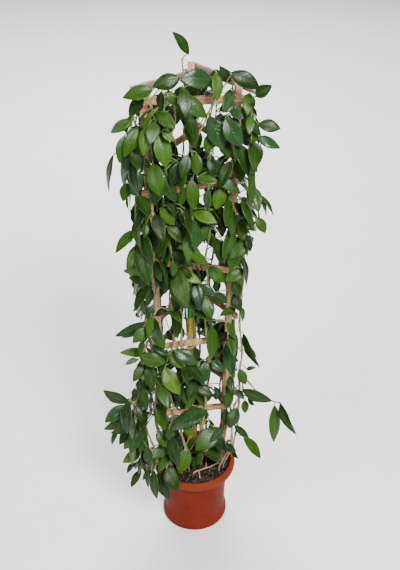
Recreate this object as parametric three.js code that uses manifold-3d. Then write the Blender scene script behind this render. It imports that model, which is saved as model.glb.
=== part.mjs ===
// A potted hoya trained round a three-post wooden tower. Millimetres, +Z up, front towards -Y, and the
// origin under the middle of the pot. The pot is filled with soil, in which the posts, a painted cane and
// the stems stand in plain holes. Slats cross the posts on three sides, and each stem is one solid with
// its leaves.
import * as THREE from "three";
import { mergeVertices } from "three/addons/utils/BufferGeometryUtils.js";
import Module from "manifold-3d";

const wasm = await Module();
wasm.setup();

// Driving dimensions.
const GAP = 0.3; // between neighbouring pieces
const POT_HEIGHT = 195;
const RIM_RADIUS = 110;
const POT_FLOOR = 4; // thickness
const POT_SIDES = 24;
const SOIL_TOP = 176;
const SOIL_MOUND = 4; // how much higher the soil stands in the middle
const POST_SIDE = 15;
const POST_FOOT = 96; // height of the posts' buried ends
const CANE_FOOT = 30;
const POST_TOPS = { left: 1252, right: 1257, back: 1250 };
const SLAT_HEIGHT = 16;
const SLAT_THICKNESS = 7;
const SLAT_OVERHANG = 16; // past the middle of the post
const CANE_RADIUS = 8;
const CANE_JOINT = 122; // between two rings of the cane
const CANE_RING = 1; // how far a ring stands out
const CANE_SIDES = 6;
const STEM_RADIUS = 2.6;
const STALK_RADIUS = 1.6;
const ROOT_DEPTH = 0.9; // how far a stalk's end goes past the middle of its stem
const BLADE_THICKNESS = 0.8;
const FACE_DEPTH = 25; // how far in front of the posts the stems climb
const EYE = new THREE.Vector3(15, -1700, 1831); // the point that the see-through gaps fan out from

// The middle line of each post, as [x, y] where it leaves the soil and [x, y] at TOWER_TOP.
const TOWER_TOP = 1234;
const POST_LINES = {
  left: [[-75, -14], [-101, -58]],
  right: [[74.4, 8.6], [92, -48]],
  back: [[0, 76], [-4, 104]],
};

// The pot's outline as [radius, height], from the middle of its base up the outside, over the rolled rim
// and down the inside.
const POT_OUTLINE = [
  [0, 0], [84, 0], [87.5, 5], [88.5, 13], [87.5, 24], [83.5, 36], [82.5, 50], [85, 100], [87.5, 135],
  [90.5, 156], [97, 162], [105, 168], [109.5, 177], [RIM_RADIUS, 185], [107.5, 192.5], [101, POT_HEIGHT],
  [96.5, 191], [95, 176], [88.3, 154], [83, 100], [80.5, 50], [79, 6], [77, POT_FLOOR], [0, POT_FLOOR],
];

// Slats as [face, height at its first post, height at its second post, extra overhang at the second].
const SLATS = {
  slat_front_1: ["front", 379, 387, 0],
  slat_front_2: ["front", 599, 611, 0],
  slat_front_3: ["front", 846, 814, 0],
  slat_front_4: ["front", 1020, 1043, 0],
  slat_front_5: ["front", 1228, 1228, 4],
  slat_right_1: ["right", 455, 455, 0],
  slat_right_2: ["right", 672, 672, 0],
  slat_right_3: ["right", 906, 906, 0],
  slat_right_4: ["right", 1105, 1105, 0],
  slat_right_5: ["right", 1238, 1250, 25],
  slat_left_1: ["left", 480, 480, 0],
  slat_left_2: ["left", 655, 655, 0],
  slat_left_3: ["left", 900, 900, 0],
  slat_left_4: ["left", 1080, 1080, 0],
  slat_left_5: ["left", 1220, 1246, 0],
};
const FACES = { front: ["left", "right"], right: ["back", "right"], left: ["back", "left"] };

// String ties, as [post, height].
const TIES = {
  tie_left_1: ["left", 958],
  tie_left_2: ["left", 1208],
  tie_right_1: ["right", 407],
  tie_right_2: ["right", 884],
  tie_right_3: ["right", 1008],
  tie_right_4: ["right", 1203],
  tie_back_1: ["back", 640],
  tie_back_2: ["back", 1195],
};

const CANE_LINE = [new THREE.Vector3(-11, 8, CANE_FOOT), new THREE.Vector3(-9, 30, 960)];

// ---------------------------------------------------------------------------------------------------
// Closed meshes, solids and back.

function closedMesh(geometry) {
  const plain = geometry.clone();
  plain.deleteAttribute("normal");
  plain.deleteAttribute("uv");
  return mergeVertices(plain, 1e-3);
}

function solidOf(geometry) {
  const merged = closedMesh(geometry);
  return new wasm.Manifold(
    new wasm.Mesh({
      numProp: 3,
      vertProperties: merged.attributes.position.array,
      triVerts: new Uint32Array(merged.index.array),
    }),
  );
}

function geometryOf(solid) {
  const mesh = solid.getMesh();
  const positions = new Float32Array(mesh.numVert * 3);
  for (let i = 0; i < mesh.numVert; i++) {
    positions.set(mesh.vertProperties.subarray(i * mesh.numProp, i * mesh.numProp + 3), i * 3);
  }
  const geometry = new THREE.BufferGeometry();
  geometry.setAttribute("position", new THREE.BufferAttribute(positions, 3));
  geometry.setIndex(new THREE.BufferAttribute(mesh.triVerts, 1));
  geometry.computeVertexNormals();
  return geometry;
}

function joined(solids) {
  let list = solids;
  while (list.length > 1) {
    const next = [];
    for (let i = 0; i < list.length; i += 2) {
      next.push(i + 1 < list.length ? list[i].add(list[i + 1]) : list[i]);
    }
    list = next;
  }
  return list[0];
}

// ---------------------------------------------------------------------------------------------------
// The tower.

function postAt(name, z) {
  const [foot, top] = POST_LINES[name];
  const share = (z - SOIL_TOP) / (TOWER_TOP - SOIL_TOP);
  return new THREE.Vector3(
    foot[0] + (top[0] - foot[0]) * share,
    foot[1] + (top[1] - foot[1]) * share,
    z,
  );
}

function axisAt(z) {
  return postAt("left", z).add(postAt("right", z)).add(postAt("back", z)).divideScalar(3);
}

// Each post is turned so that one face looks away from the middle of the pot.
function facingOf(name) {
  const [foot] = POST_LINES[name];
  return Math.atan2(foot[1], foot[0]);
}

// A square bar whose middle line runs from one point to another.
function bar(from, to, side, facing = 0) {
  const geometry = new THREE.BoxGeometry(side, side, from.distanceTo(to)).rotateZ(facing);
  const turn = new THREE.Quaternion().setFromUnitVectors(
    new THREE.Vector3(0, 0, 1),
    to.clone().sub(from).normalize(),
  );
  geometry.applyQuaternion(turn);
  const middle = from.clone().add(to).divideScalar(2);
  return geometry.translate(middle.x, middle.y, middle.z);
}

// A slat lies on the outside of its two posts, with its middle line through the two points returned.
function slatLine(face, firstHeight, secondHeight, extra) {
  const [first, second] = FACES[face];
  const a = postAt(first, firstHeight);
  const b = postAt(second, secondHeight);
  const along = b.clone().sub(a).setZ(0).normalize();
  const out = new THREE.Vector3(along.y, -along.x, 0);
  if (out.dot(a.clone().add(b).divideScalar(2).sub(axisAt(firstHeight))) < 0) out.negate();
  const towards = Math.atan2(out.y, out.x);
  const reaches = [first, second].map((name) => {
    const angle = towards - facingOf(name);
    return (POST_SIDE / 2) * (Math.abs(Math.cos(angle)) + Math.abs(Math.sin(angle)));
  });
  const reach = Math.max(...reaches);
  const lean = 0.3; // the posts' lean over half the height of a slat
  const depth = reach + GAP + lean + SLAT_THICKNESS / 2;
  const slope = b.clone().sub(a).normalize();
  a.addScaledVector(out, depth).addScaledVector(slope, -SLAT_OVERHANG);
  b.addScaledVector(out, depth).addScaledVector(slope, SLAT_OVERHANG + extra);
  return { a, b, out };
}

function slatGeometry(line) {
  const { a, b, out } = line;
  const along = b.clone().sub(a).normalize();
  const up = new THREE.Vector3().crossVectors(along, out).normalize();
  const geometry = new THREE.BoxGeometry(a.distanceTo(b), SLAT_THICKNESS, SLAT_HEIGHT);
  const middle = a.clone().add(b).divideScalar(2);
  const turn = new THREE.Matrix4().makeBasis(along, out, up).setPosition(middle);
  return geometry.applyMatrix4(turn);
}

// A tie is a few turns of string round a post, drawn as one square band with a knot in front.
function tieSolid(post, height) {
  const inner = POST_SIDE / 2 + GAP;
  const outer = inner + 2;
  const turns = 6; // height of the band
  const shape = new THREE.Shape();
  shape.moveTo(-outer, -outer).lineTo(outer, -outer).lineTo(outer, outer).lineTo(-outer, outer);
  const hole = new THREE.Path();
  hole.moveTo(-inner, -inner).lineTo(-inner, inner).lineTo(inner, inner).lineTo(inner, -inner);
  shape.holes.push(hole);
  const band = new THREE.ExtrudeGeometry(shape, { depth: turns, bevelEnabled: false });
  band.translate(0, 0, -turns / 2);
  const knot = new THREE.OctahedronGeometry(3.6, 0).translate(1, -outer - 1.2, 0);
  const up = postAt(post, height + 1).sub(postAt(post, height)).normalize();
  const turn = new THREE.Quaternion().setFromUnitVectors(new THREE.Vector3(0, 0, 1), up);
  const facing = facingOf(post);
  const quarter = Math.round(facing / (Math.PI / 2)) * (Math.PI / 2);
  const geometry = geometryOf(solidOf(band).add(solidOf(knot))).rotateZ(facing - quarter);
  const middle = postAt(post, height);
  return geometry.applyQuaternion(turn).translate(middle.x, middle.y, middle.z);
}

// The cane is a round stick with a raised ring at each joint.
function caneGeometry() {
  const length = CANE_LINE[0].distanceTo(CANE_LINE[1]);
  const slim = CANE_RADIUS - CANE_RING;
  const outline = [[0, 0], [slim, 0]];
  for (let joint = CANE_JOINT; joint < length - CANE_JOINT / 2; joint += CANE_JOINT) {
    outline.push([slim, joint - 4], [CANE_RADIUS, joint], [slim, joint + 4]);
  }
  outline.push([slim, length], [0, length]);
  const points = outline.map(([radius, height]) => new THREE.Vector2(radius, height));
  const geometry = new THREE.LatheGeometry(points, CANE_SIDES);
  geometry.rotateX(Math.PI / 2);
  const along = CANE_LINE[1].clone().sub(CANE_LINE[0]).normalize();
  const turn = new THREE.Quaternion().setFromUnitVectors(new THREE.Vector3(0, 0, 1), along);
  return geometry.applyQuaternion(turn).translate(CANE_LINE[0].x, CANE_LINE[0].y, CANE_LINE[0].z);
}

// ---------------------------------------------------------------------------------------------------
// Where leaves and stems may go. Every piece that is in the way is known by points along it, each with a
// radius that others keep out of.

const pieces = [];

function addPiece(owner, kind, radius, points) {
  const centre = new THREE.Vector3();
  for (const point of points) centre.add(point);
  centre.divideScalar(points.length);
  const reach = Math.max(...points.map((point) => point.distanceTo(centre)));
  pieces.push({ owner, kind, radius, points, centre, reach });
}

function pointsAlong(a, b, step) {
  const count = Math.max(1, Math.ceil(a.distanceTo(b) / step));
  const points = [];
  for (let i = 0; i <= count; i++) points.push(a.clone().lerp(b, i / count));
  return points;
}

// The first piece that comes too close to the points given, or null.
function tooClose(owner, kind, radius, points) {
  const centre = points[Math.floor(points.length / 2)];
  const reach = Math.max(...points.map((point) => point.distanceTo(centre)));
  const outer = points.slice(Math.floor(points.length * 0.3));
  for (const piece of pieces) {
    const own = piece.owner === owner;
    if (own && kind === "stem") continue;
    const apart = (radius + piece.radius) * (own ? OWN_SHARE : 1);
    const tested = own && piece.kind === "stem" ? outer : points;
    if (piece.centre.distanceTo(centre) > piece.reach + reach + apart) continue;
    const least = apart * apart;
    for (const p of tested) {
      for (const q of piece.points) {
        if (p.distanceToSquared(q) < least) return piece;
      }
    }
  }
  return null;
}

const OWN_SHARE = 0.8; // leaves of one stem may come closer to each other
const WOOD_CLEARANCE = 10;
const STEM_CLEARANCE = 3.6;
const LEAF_CLEARANCE = 4.6;

// A leaf stays off the floor, off the soil and clear of the pot's wall and rim.
function meetsPot(point) {
  if (point.z < 6) return true;
  if (point.z > POT_HEIGHT + 5) return false;
  const radius = Math.hypot(point.x, point.y);
  const outside = radius > RIM_RADIUS + 4;
  const inside = radius < 88 && point.z > SOIL_TOP + SOIL_MOUND + 3;
  return !outside && !inside;
}

// A place on the front of the tower, FACE_DEPTH in front of the posts, moved towards the eye by `out`.
function frontPlace(x, z, out) {
  const left = postAt("left", z);
  const right = postAt("right", z);
  const share = THREE.MathUtils.clamp((x - left.x) / (right.x - left.x), -0.6, 1.6);
  const y = left.y + (right.y - left.y) * share - FACE_DEPTH;
  const place = new THREE.Vector3(x, y, z);
  const nearer = (y - out - EYE.y) / (y - EYE.y);
  return place.sub(EYE).multiplyScalar(nearer).add(EYE);
}

// The front place [x, z] that a point covers as seen from the eye.
function coveredPlace(point) {
  let depth = -70;
  let place = null;
  for (let round = 0; round < 3; round++) {
    const share = (depth - EYE.y) / (point.y - EYE.y);
    place = point.clone().sub(EYE).multiplyScalar(share).add(EYE);
    depth = frontPlace(place.x, place.z, 0).y;
  }
  return place;
}

// Gaps on the front of the tower, each a round-ended slot as [x, z, x, z, radius]. The room shows through
// most of them, and the painted cane and a slat through the last two.
const GAPS = [
  [42, 1214, 40, 1204, 8],
  [-25, 1166, -18, 1118, 9],
  [31, 1162, 25, 1138, 6],
  [47, 1117, 47, 1114, 7],
  [16, 1030, 16, 1004, 5],
  [28, 882, 46, 848, 11],
  [32, 790, 36, 785, 9],
  [71, 772, 71, 762, 9],
  [58, 730, 62, 695, 14],
  [-85, 775, -86, 742, 6],
  [-61, 752, -68, 738, 8],
  [-98, 725, -106, 708, 7],
  [-58, 690, -67, 665, 10],
  [-130, 684, -132, 676, 6],
  [25, 600, 27, 580, 12],
  [-54, 530, -54, 525, 7],
  [46, 498, 64, 478, 13],
  [-101, 362, -95, 288, 13],
  [48, 400, 66, 350, 17],
  [-60, 390, -38, 392, 8],
  [103, 700, 103, 685, 8],
  [109, 494, 109, 486, 10],
  [-14, 708, -10, 628, 9],
  [-62, 612, 24, 619, 8],
];

// How far the mass of leaves reaches to the left and right, as [z, left, right].
const OUTLINE = [
  [150, -150, 60], [200, -165, 70], [250, -180, 78], [300, -190, 80], [350, -212, 85],
  [400, -200, 100], [450, -165, 112], [500, -142, 112], [550, -142, 108], [600, -138, 108],
  [650, -130, 104], [700, -142, 106], [750, -138, 112], [800, -142, 120], [850, -150, 122],
  [900, -138, 134], [950, -130, 150], [1000, -142, 142], [1050, -150, 134], [1100, -152, 140],
  [1150, -148, 142], [1200, -132, 130], [1250, -128, 134], [1290, -62, 78], [1300, -20, 40],
];

function insideOutline(place) {
  for (let i = 1; i < OUTLINE.length; i++) {
    const [lowZ, lowLeft, lowRight] = OUTLINE[i - 1];
    const [highZ, highLeft, highRight] = OUTLINE[i];
    if (place.z > highZ) continue;
    const share = Math.max(0, (place.z - lowZ) / (highZ - lowZ));
    const left = lowLeft + (highLeft - lowLeft) * share;
    const right = lowRight + (highRight - lowRight) * share;
    return place.x > left && place.x < right;
  }
  return false;
}

function insideGap(place) {
  for (const [x1, z1, x2, z2, radius] of GAPS) {
    const dx = x2 - x1;
    const dz = z2 - z1;
    const share = ((place.x - x1) * dx + (place.z - z1) * dz) / (dx * dx + dz * dz);
    const near = THREE.MathUtils.clamp(share, 0, 1);
    if (Math.hypot(place.x - x1 - dx * near, place.z - z1 - dz * near) < radius) return true;
  }
  return false;
}

// ---------------------------------------------------------------------------------------------------
// Leaves.

let seed = 20;
function random() {
  seed = (Math.imul(seed, 1664525) + 1013904223) >>> 0;
  return seed / 4294967296;
}

// A blade's middle line is an arch from base to tip, in the plane of its upper side's normal, and its
// side direction is the same all along it.
function makeLeaf(root, base, tip, width, roll, arch, facing) {
  const chord = tip.clone().sub(base);
  const length = chord.length();
  const forward = chord.clone().normalize();
  const normal = facing.clone().addScaledVector(forward, -facing.dot(forward)).normalize();
  normal.applyAxisAngle(forward, roll);
  const side = new THREE.Vector3().crossVectors(forward, normal).normalize();
  const top = base.clone().add(tip).divideScalar(2).addScaledVector(normal, arch * length);
  return { root, base, tip, width, normal, side, top };
}

function middleAt(leaf, t) {
  const a = leaf.base.clone().multiplyScalar((1 - t) * (1 - t));
  const b = leaf.top.clone().multiplyScalar(2 * t * (1 - t));
  const c = leaf.tip.clone().multiplyScalar(t * t);
  return a.add(b).add(c);
}

// Half the width of a blade at a share of its length: widest a little before the middle, and pointed.
function halfWidth(leaf, t) {
  return (leaf.width / 2) * Math.pow(Math.sin(Math.PI * Math.pow(t, 0.86)), 0.85);
}

// Points all over a leaf, from its stalk to its tip.
function leafPoints(leaf) {
  const points = pointsAlong(leaf.root.clone().lerp(leaf.base, 0.5), leaf.base, 8);
  for (let i = 1; i <= 8; i++) {
    const t = i / 8;
    const half = t < 1 ? halfWidth(leaf, t) : 0;
    const middle = middleAt(leaf, t);
    const across = half > 12 ? [-0.9, -0.45, 0, 0.45, 0.9] : [-0.8, 0, 0.8];
    for (const share of across) {
      points.push(middle.clone().addScaledVector(leaf.side, half * share));
    }
  }
  return points;
}

// Joins rings of four corners each into one closed skin. Corners may coincide.
function skin(rings) {
  const positions = [];
  const face = (a, b, c) => {
    if (a.equals(b) || b.equals(c) || c.equals(a)) return;
    for (const corner of [a, b, c]) positions.push(corner.x, corner.y, corner.z);
  };
  for (let i = 1; i < rings.length; i++) {
    const [from, to] = [rings[i - 1], rings[i]];
    for (let k = 0; k < 4; k++) {
      const next = (k + 1) % 4;
      face(from[k], from[next], to[next]);
      face(from[k], to[next], to[k]);
    }
  }
  const first = rings[0];
  const last = rings[rings.length - 1];
  face(first[0], first[2], first[1]);
  face(first[0], first[3], first[2]);
  face(last[0], last[1], last[2]);
  face(last[0], last[2], last[3]);
  const geometry = new THREE.BufferGeometry();
  geometry.setAttribute("position", new THREE.Float32BufferAttribute(positions, 3));
  return geometry;
}

function leafGeometry(leaf) {
  const corner = (centre, side, normal, across, high) =>
    centre.clone().addScaledVector(side, across).addScaledVector(normal, high);
  const ring = (centre, side, normal, radius) => {
    const left = corner(centre, side, normal, -radius, radius * 0.6);
    const right = corner(centre, side, normal, radius, radius * 0.6);
    const under = corner(centre, side, normal, 0, -radius * 1.2);
    return [left, right, under, under];
  };
  const blade = (t) => {
    const middle = middleAt(leaf, t);
    const half = halfWidth(leaf, t);
    const high = BLADE_THICKNESS / 2;
    return [
      corner(middle, leaf.side, leaf.normal, -half, high),
      corner(middle, leaf.side, leaf.normal, half, high),
      corner(middle, leaf.side, leaf.normal, half, -high),
      corner(middle, leaf.side, leaf.normal, -half, -high),
    ];
  };
  const tipTop = corner(leaf.tip, leaf.side, leaf.normal, 0, BLADE_THICKNESS / 2);
  const tipUnder = corner(leaf.tip, leaf.side, leaf.normal, 0, -BLADE_THICKNESS / 2);
  // The ring at the blade's base is square to the bend between stalk and blade. The stalk's buried end
  // narrows to a point.
  const way = leaf.base.clone().sub(leaf.root).normalize();
  const forward = new THREE.Vector3().crossVectors(leaf.normal, leaf.side);
  const bend = way.clone().add(forward).normalize();
  const ringSide = leaf.side.clone().addScaledVector(bend, -leaf.side.dot(bend)).normalize();
  const ringNormal = new THREE.Vector3().crossVectors(ringSide, bend);
  const root = leaf.root.clone().addScaledVector(way, -ROOT_DEPTH);
  return skin([
    [root, root, root, root],
    ring(leaf.base, ringSide, ringNormal, STALK_RADIUS),
    blade(0.3),
    blade(0.68),
    [tipTop, tipTop, tipUnder, tipUnder],
  ]);
}

// ---------------------------------------------------------------------------------------------------
// Stems.

// A stem's steps fall on the points of its trail.
class Trail extends THREE.Curve {
  constructor(points) {
    super();
    this.points = points;
  }
  getPoint(t) {
    const place = t * (this.points.length - 1);
    const index = Math.min(Math.floor(place), this.points.length - 2);
    return this.points[index].clone().lerp(this.points[index + 1], place - index);
  }
  getPointAt(u) {
    return this.getPoint(u);
  }
  getUtoTmapping(u) {
    return u;
  }
}

function stemGeometry(points, radius, sides = 3) {
  const section = new THREE.Shape();
  for (let i = 0; i < sides; i++) {
    const angle = (i / sides) * 2 * Math.PI;
    const place = [radius * Math.cos(angle), radius * Math.sin(angle)];
    if (i) section.lineTo(...place);
    else section.moveTo(...place);
  }
  const extrudePath = new Trail(points);
  return new THREE.ExtrudeGeometry(section, { steps: points.length - 1, extrudePath, bevelEnabled: false });
}

function nearestOnTrail(points, target) {
  let best = null;
  for (let i = 1; i < points.length; i++) {
    const line = new THREE.Line3(points[i - 1], points[i]);
    const near = line.closestPointToPoint(target, true, new THREE.Vector3());
    if (!best || near.distanceTo(target) < best.distanceTo(target)) best = near;
  }
  return best;
}

// Front stems. `soil` is the hole as [x, y], `trail` is the way up as front places [x, z], and each leaf is
// [base x, base z, tip x, tip z, width as seen, base out, tip out], with the last two left out where a
// common depth will do. The lowest leaves come first, so that each higher one hangs over them.
const FRONT_STEMS = {
  stem_left_low: {
    soil: [-48, -56],
    out: 17,
    trail: [[-78, 232], [-112, 262], [-138, 300], [-146, 360], [-152, 420], [-160, 450]],
    leaves: [
      [-142, 195, -172, 130, 20],
      [-125, 192, -140, 152, 14],
      [-120, 190, -125, 122, 14],
      [-155, 222, -180, 184, 13],
      [-108, 186, -103, 72, 26, 22, 56],
      [-97, 182, -68, 62, 32, 30, 76],
      [-140, 265, -190, 225, 30],
      [-125, 348, -142, 255, 28],
      [-137, 368, -168, 256, 36],
      [-160, 355, -195, 290, 26],
      [-196, 345, -215, 290, 13],
      [-158, 370, -216, 332, 24],
      [-155, 394, -232, 345, 30],
      [-172, 428, -228, 370, 32],
      [-166, 436, -225, 479, 30],
    ],
  },
  stem_left_high: {
    soil: [-64, -42],
    trail: [
      [-118, 240], [-126, 330], [-122, 420], [-128, 500], [-122, 560], [-120, 640], [-112, 700],
      [-108, 770], [-112, 840], [-116, 910], [-124, 970], [-122, 1040], [-128, 1110], [-124, 1180],
      [-112, 1225],
    ],
    leaves: [
      [-125, 505, -142, 468, 14],
      [-120, 556, -150, 503, 26],
      [-133, 573, -166, 559, 14],
      [-113, 592, -178, 597, 24],
      [-120, 668, -170, 642, 15],
      [-114, 684, -186, 648, 20],
      [-95, 797, -138, 716, 26],
      [-113, 806, -146, 812, 22],
      [-100, 828, -158, 832, 20],
      [-114, 902, -150, 832, 32],
      [-122, 936, -172, 878, 26],
      [-138, 1052, -149, 1008, 24],
      [-110, 1078, -128, 1020, 34],
      [-163, 1118, -177, 1030, 14],
      [-138, 1160, -152, 1098, 24],
      [-110, 1178, -142, 1110, 28],
      [-122, 1195, -166, 1166, 24],
      [-98, 1243, -127, 1200, 26],
      [-78, 1256, -138, 1240, 32],
    ],
  },
  stem_left_post: {
    soil: [-54, -32],
    trail: [
      [-80, 240], [-94, 310], [-98, 380], [-92, 460], [-96, 540], [-90, 620], [-98, 700], [-84, 780],
      [-92, 850], [-82, 930], [-92, 1010], [-80, 1090], [-90, 1170], [-80, 1215],
    ],
    leaves: [
      [-70, 272, -115, 234, 30],
      [-92, 425, -75, 328, 30],
      [-92, 498, -122, 463, 30],
      [-112, 552, -104, 474, 32],
      [-108, 668, -146, 624, 28],
      [-98, 665, -70, 600, 30],
      [-92, 733, -110, 696, 24],
      [-96, 778, -108, 732, 18],
      [-95, 868, -135, 842, 28],
      [-88, 945, -82, 872, 26],
      [-96, 1062, -86, 1020, 18],
      [-83, 1096, -70, 1017, 40],
      [-90, 1180, -102, 1112, 28],
      [-74, 1190, -88, 1138, 28],
      [-72, 1208, -34, 1172, 28],
    ],
  },
  stem_middle_left: {
    soil: [-34, -46],
    trail: [
      [-52, 240], [-64, 320], [-50, 400], [-66, 480], [-72, 545], [-52, 600], [-44, 680], [-56, 760],
      [-44, 840], [-54, 920], [-46, 1000], [-56, 1080], [-48, 1150], [-58, 1210], [-46, 1256],
    ],
    leaves: [
      [-75, 190, -45, 96, 40, 40, 62],
      [-95, 332, -74, 268, 28],
      [-74, 542, -36, 450, 42],
      [-128, 582, -68, 558, 36],
      [-62, 590, -26, 534, 24],
      [-48, 802, -25, 725, 36],
      [-47, 876, -1, 834, 32],
      [-43, 936, -77, 860, 24],
      [-71, 988, -39, 945, 26],
      [-52, 1008, -39, 970, 20],
      [-30, 1096, -46, 1040, 26],
      [-70, 1160, -55, 1083, 38],
      [-62, 1166, -37, 1146, 26],
      [-49, 1253, -31, 1221, 22],
      [-25, 1280, -78, 1262, 34],
    ],
  },
  stem_middle: {
    soil: [-14, -40],
    trail: [
      [-22, 240], [-34, 320], [-20, 400], [-14, 480], [-28, 560], [-29, 640], [-30, 720], [-4, 800],
      [-14, 870], [0, 940], [-8, 1010], [4, 1080], [-8, 1150], [-14, 1215], [-20, 1262],
    ],
    leaves: [
      [-18, 260, -42, 162, 40, 0, 26],
      [-30, 335, 2, 304, 28],
      [35, 388, -62, 326, 40],
      [-20, 470, -10, 400, 32],
      [4, 500, -14, 430, 32],
      [-47, 592, 9, 544, 36],
      [2, 706, 31, 682, 17],
      [-4, 752, 15, 708, 24],
      [-12, 884, 36, 836, 24],
      [-7, 892, -35, 886, 20],
      [0, 976, 53, 947, 30],
      [-4, 1056, 1, 980, 30],
      [8, 1116, 8, 1064, 30],
      [-10, 1114, -24, 1058, 26],
      [-8, 1186, 4, 1128, 28],
      [-27, 1242, 30, 1194, 36],
    ],
  },
  stem_middle_right: {
    soil: [18, -14],
    trail: [
      [34, 250], [22, 330], [30, 410], [22, 490], [38, 570], [30, 650], [22, 720], [36, 790],
      [24, 850], [38, 920], [26, 990], [40, 1060], [34, 1130], [36, 1200], [50, 1262], [46, 1290],
    ],
    leaves: [
      [40, 310, 86, 232, 32],
      [62, 322, 2, 246, 52],
      [30, 555, 20, 476, 30],
      [42, 552, 77, 516, 36],
      [26, 748, 43, 684, 34],
      [13, 782, 50, 757, 24],
      [34, 832, 72, 786, 36],
      [32, 946, 14, 896, 22],
      [8, 1058, 56, 1048, 26],
      [31, 1104, 58, 1062, 28],
      [42, 1162, 27, 1116, 26],
      [33, 1198, 62, 1122, 40],
      [50, 1287, 46, 1247, 18],
      [38, 1274, -24, 1276, 42],
      [78, 1270, 53, 1303, 20],
    ],
  },
  stem_right_post: {
    soil: [50, -4],
    trail: [
      [78, 250], [86, 330], [78, 410], [90, 490], [80, 570], [88, 650], [78, 720], [90, 790],
      [78, 860], [90, 930], [80, 1000], [92, 1070], [82, 1140], [92, 1200], [80, 1255],
    ],
    leaves: [
      [75, 200, 24, 232, 26],
      [84, 390, 82, 326, 18],
      [110, 388, 90, 316, 38],
      [43, 662, 42, 556, 30],
      [80, 640, 54, 608, 22],
      [90, 618, 98, 494, 34],
      [99, 707, 61, 690, 20],
      [98, 752, 110, 700, 24],
      [91, 790, 109, 742, 26],
      [44, 758, 79, 728, 28],
      [114, 820, 73, 788, 40],
      [48, 908, 80, 848, 28],
      [122, 897, 80, 850, 32],
      [63, 1036, 49, 980, 32],
      [95, 1100, 101, 1046, 30],
      [60, 1146, 76, 1104, 28],
      [66, 1194, 102, 1128, 38],
      [78, 1212, 103, 1190, 28],
      [85, 1228, 53, 1208, 28],
      [74, 1288, 134, 1254, 32],
    ],
  },
  stem_right_high: {
    soil: [78, -20],
    trail: [
      [104, 250], [112, 330], [116, 410], [112, 490], [118, 560], [112, 640], [108, 710], [116, 790],
      [112, 860], [122, 930], [116, 1000], [124, 1070], [118, 1140], [124, 1190], [112, 1226],
    ],
    leaves: [
      [100, 234, 119, 198, 14],
      [82, 262, 112, 222, 22],
      [105, 326, 146, 271, 20],
      [130, 279, 180, 190, 26],
      [130, 412, 132, 365, 26],
      [106, 452, 129, 418, 24],
      [137, 422, 156, 391, 13],
      [114, 520, 130, 466, 28],
      [130, 519, 154, 521, 15],
      [122, 593, 154, 555, 20],
      [119, 634, 164, 520, 15],
      [113, 713, 116, 670, 13],
      [112, 856, 121, 774, 13],
      [120, 913, 127, 867, 16],
      [121, 958, 101, 905, 34],
      [138, 958, 160, 916, 24],
      [146, 1010, 160, 960, 11],
      [140, 1014, 175, 960, 11],
      [119, 1038, 143, 970, 32],
      [117, 1116, 131, 1062, 18],
      [127, 1138, 141, 1090, 28],
      [133, 1150, 182, 1123, 24],
      [133, 1178, 180, 1167, 28],
      [113, 1246, 111, 1198, 32],
      [126, 1238, 158, 1261, 24],
    ],
  },
  stem_right_arch: {
    soil: [66, -34],
    trail: [
      [96, 250], [100, 330], [98, 400], [102, 460], [112, 492], [128, 486], [160, 440], [200, 404],
      [222, 398],
    ],
    leaves: [
      [207, 390, 212, 254, 32],
      [222, 386, 233, 330, 20],
      [222, 398, 272, 282, 20],
      [122, 450, 202, 404, 30],
    ],
  },
};

const MOVES = [0, 7, -7, 14, 21, 28, 35, 42, 50, -14, 58, 66];
const BENDS = [0, 9, -9, 18];
const RISE = 0.72; // how far a hanging tip stands out, as a share of what would make it face the eye

function frontStem(name, { soil, trail, out = 3 }) {
  const points = [SOIL_TOP - 9, SOIL_TOP + 12].map((z) => new THREE.Vector3(...soil, z));
  trail.forEach(([x, z], i) => points.push(frontPlace(x, z, out + 4 * Math.sin(1.7 * i))));
  return clearedTrail(name, points);
}

// Moves the points of a trail away from the tower's axis until it is clear of wood and other stems.
function clearedTrail(name, points) {
  for (let round = 0; round < 14; round++) {
    let moved = false;
    for (let i = 2; i < points.length; i++) {
      const before = pointsAlong(points[i - 1], points[i], 6);
      const ahead = i + 1 < points.length ? pointsAlong(points[i], points[i + 1], 6) : [];
      const near = [...before.slice(before.length >> 1), ...ahead.slice(0, (ahead.length >> 1) + 1)];
      if (!tooClose(name, "stem", STEM_CLEARANCE, near)) continue;
      const away = points[i].clone().sub(axisAt(points[i].z)).setZ(0).normalize();
      points[i].addScaledVector(away, 4);
      moved = true;
    }
    if (!moved) break;
  }
  const samples = [];
  for (let i = 1; i < points.length; i++) samples.push(...pointsAlong(points[i - 1], points[i], 8));
  addPiece(name, "stem", STEM_CLEARANCE, samples);
  return points;
}

function leafIsClear(owner, leaf) {
  const points = leafPoints(leaf);
  if (points.some(meetsPot)) return false;
  return !tooClose(owner, "leaf", LEAF_CLEARANCE, points);
}

function keepLeaf(owner, leaf, leaves) {
  addPiece(owner, "leaf", LEAF_CLEARANCE, leafPoints(leaf));
  leaves.push(leaf);
}

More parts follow.
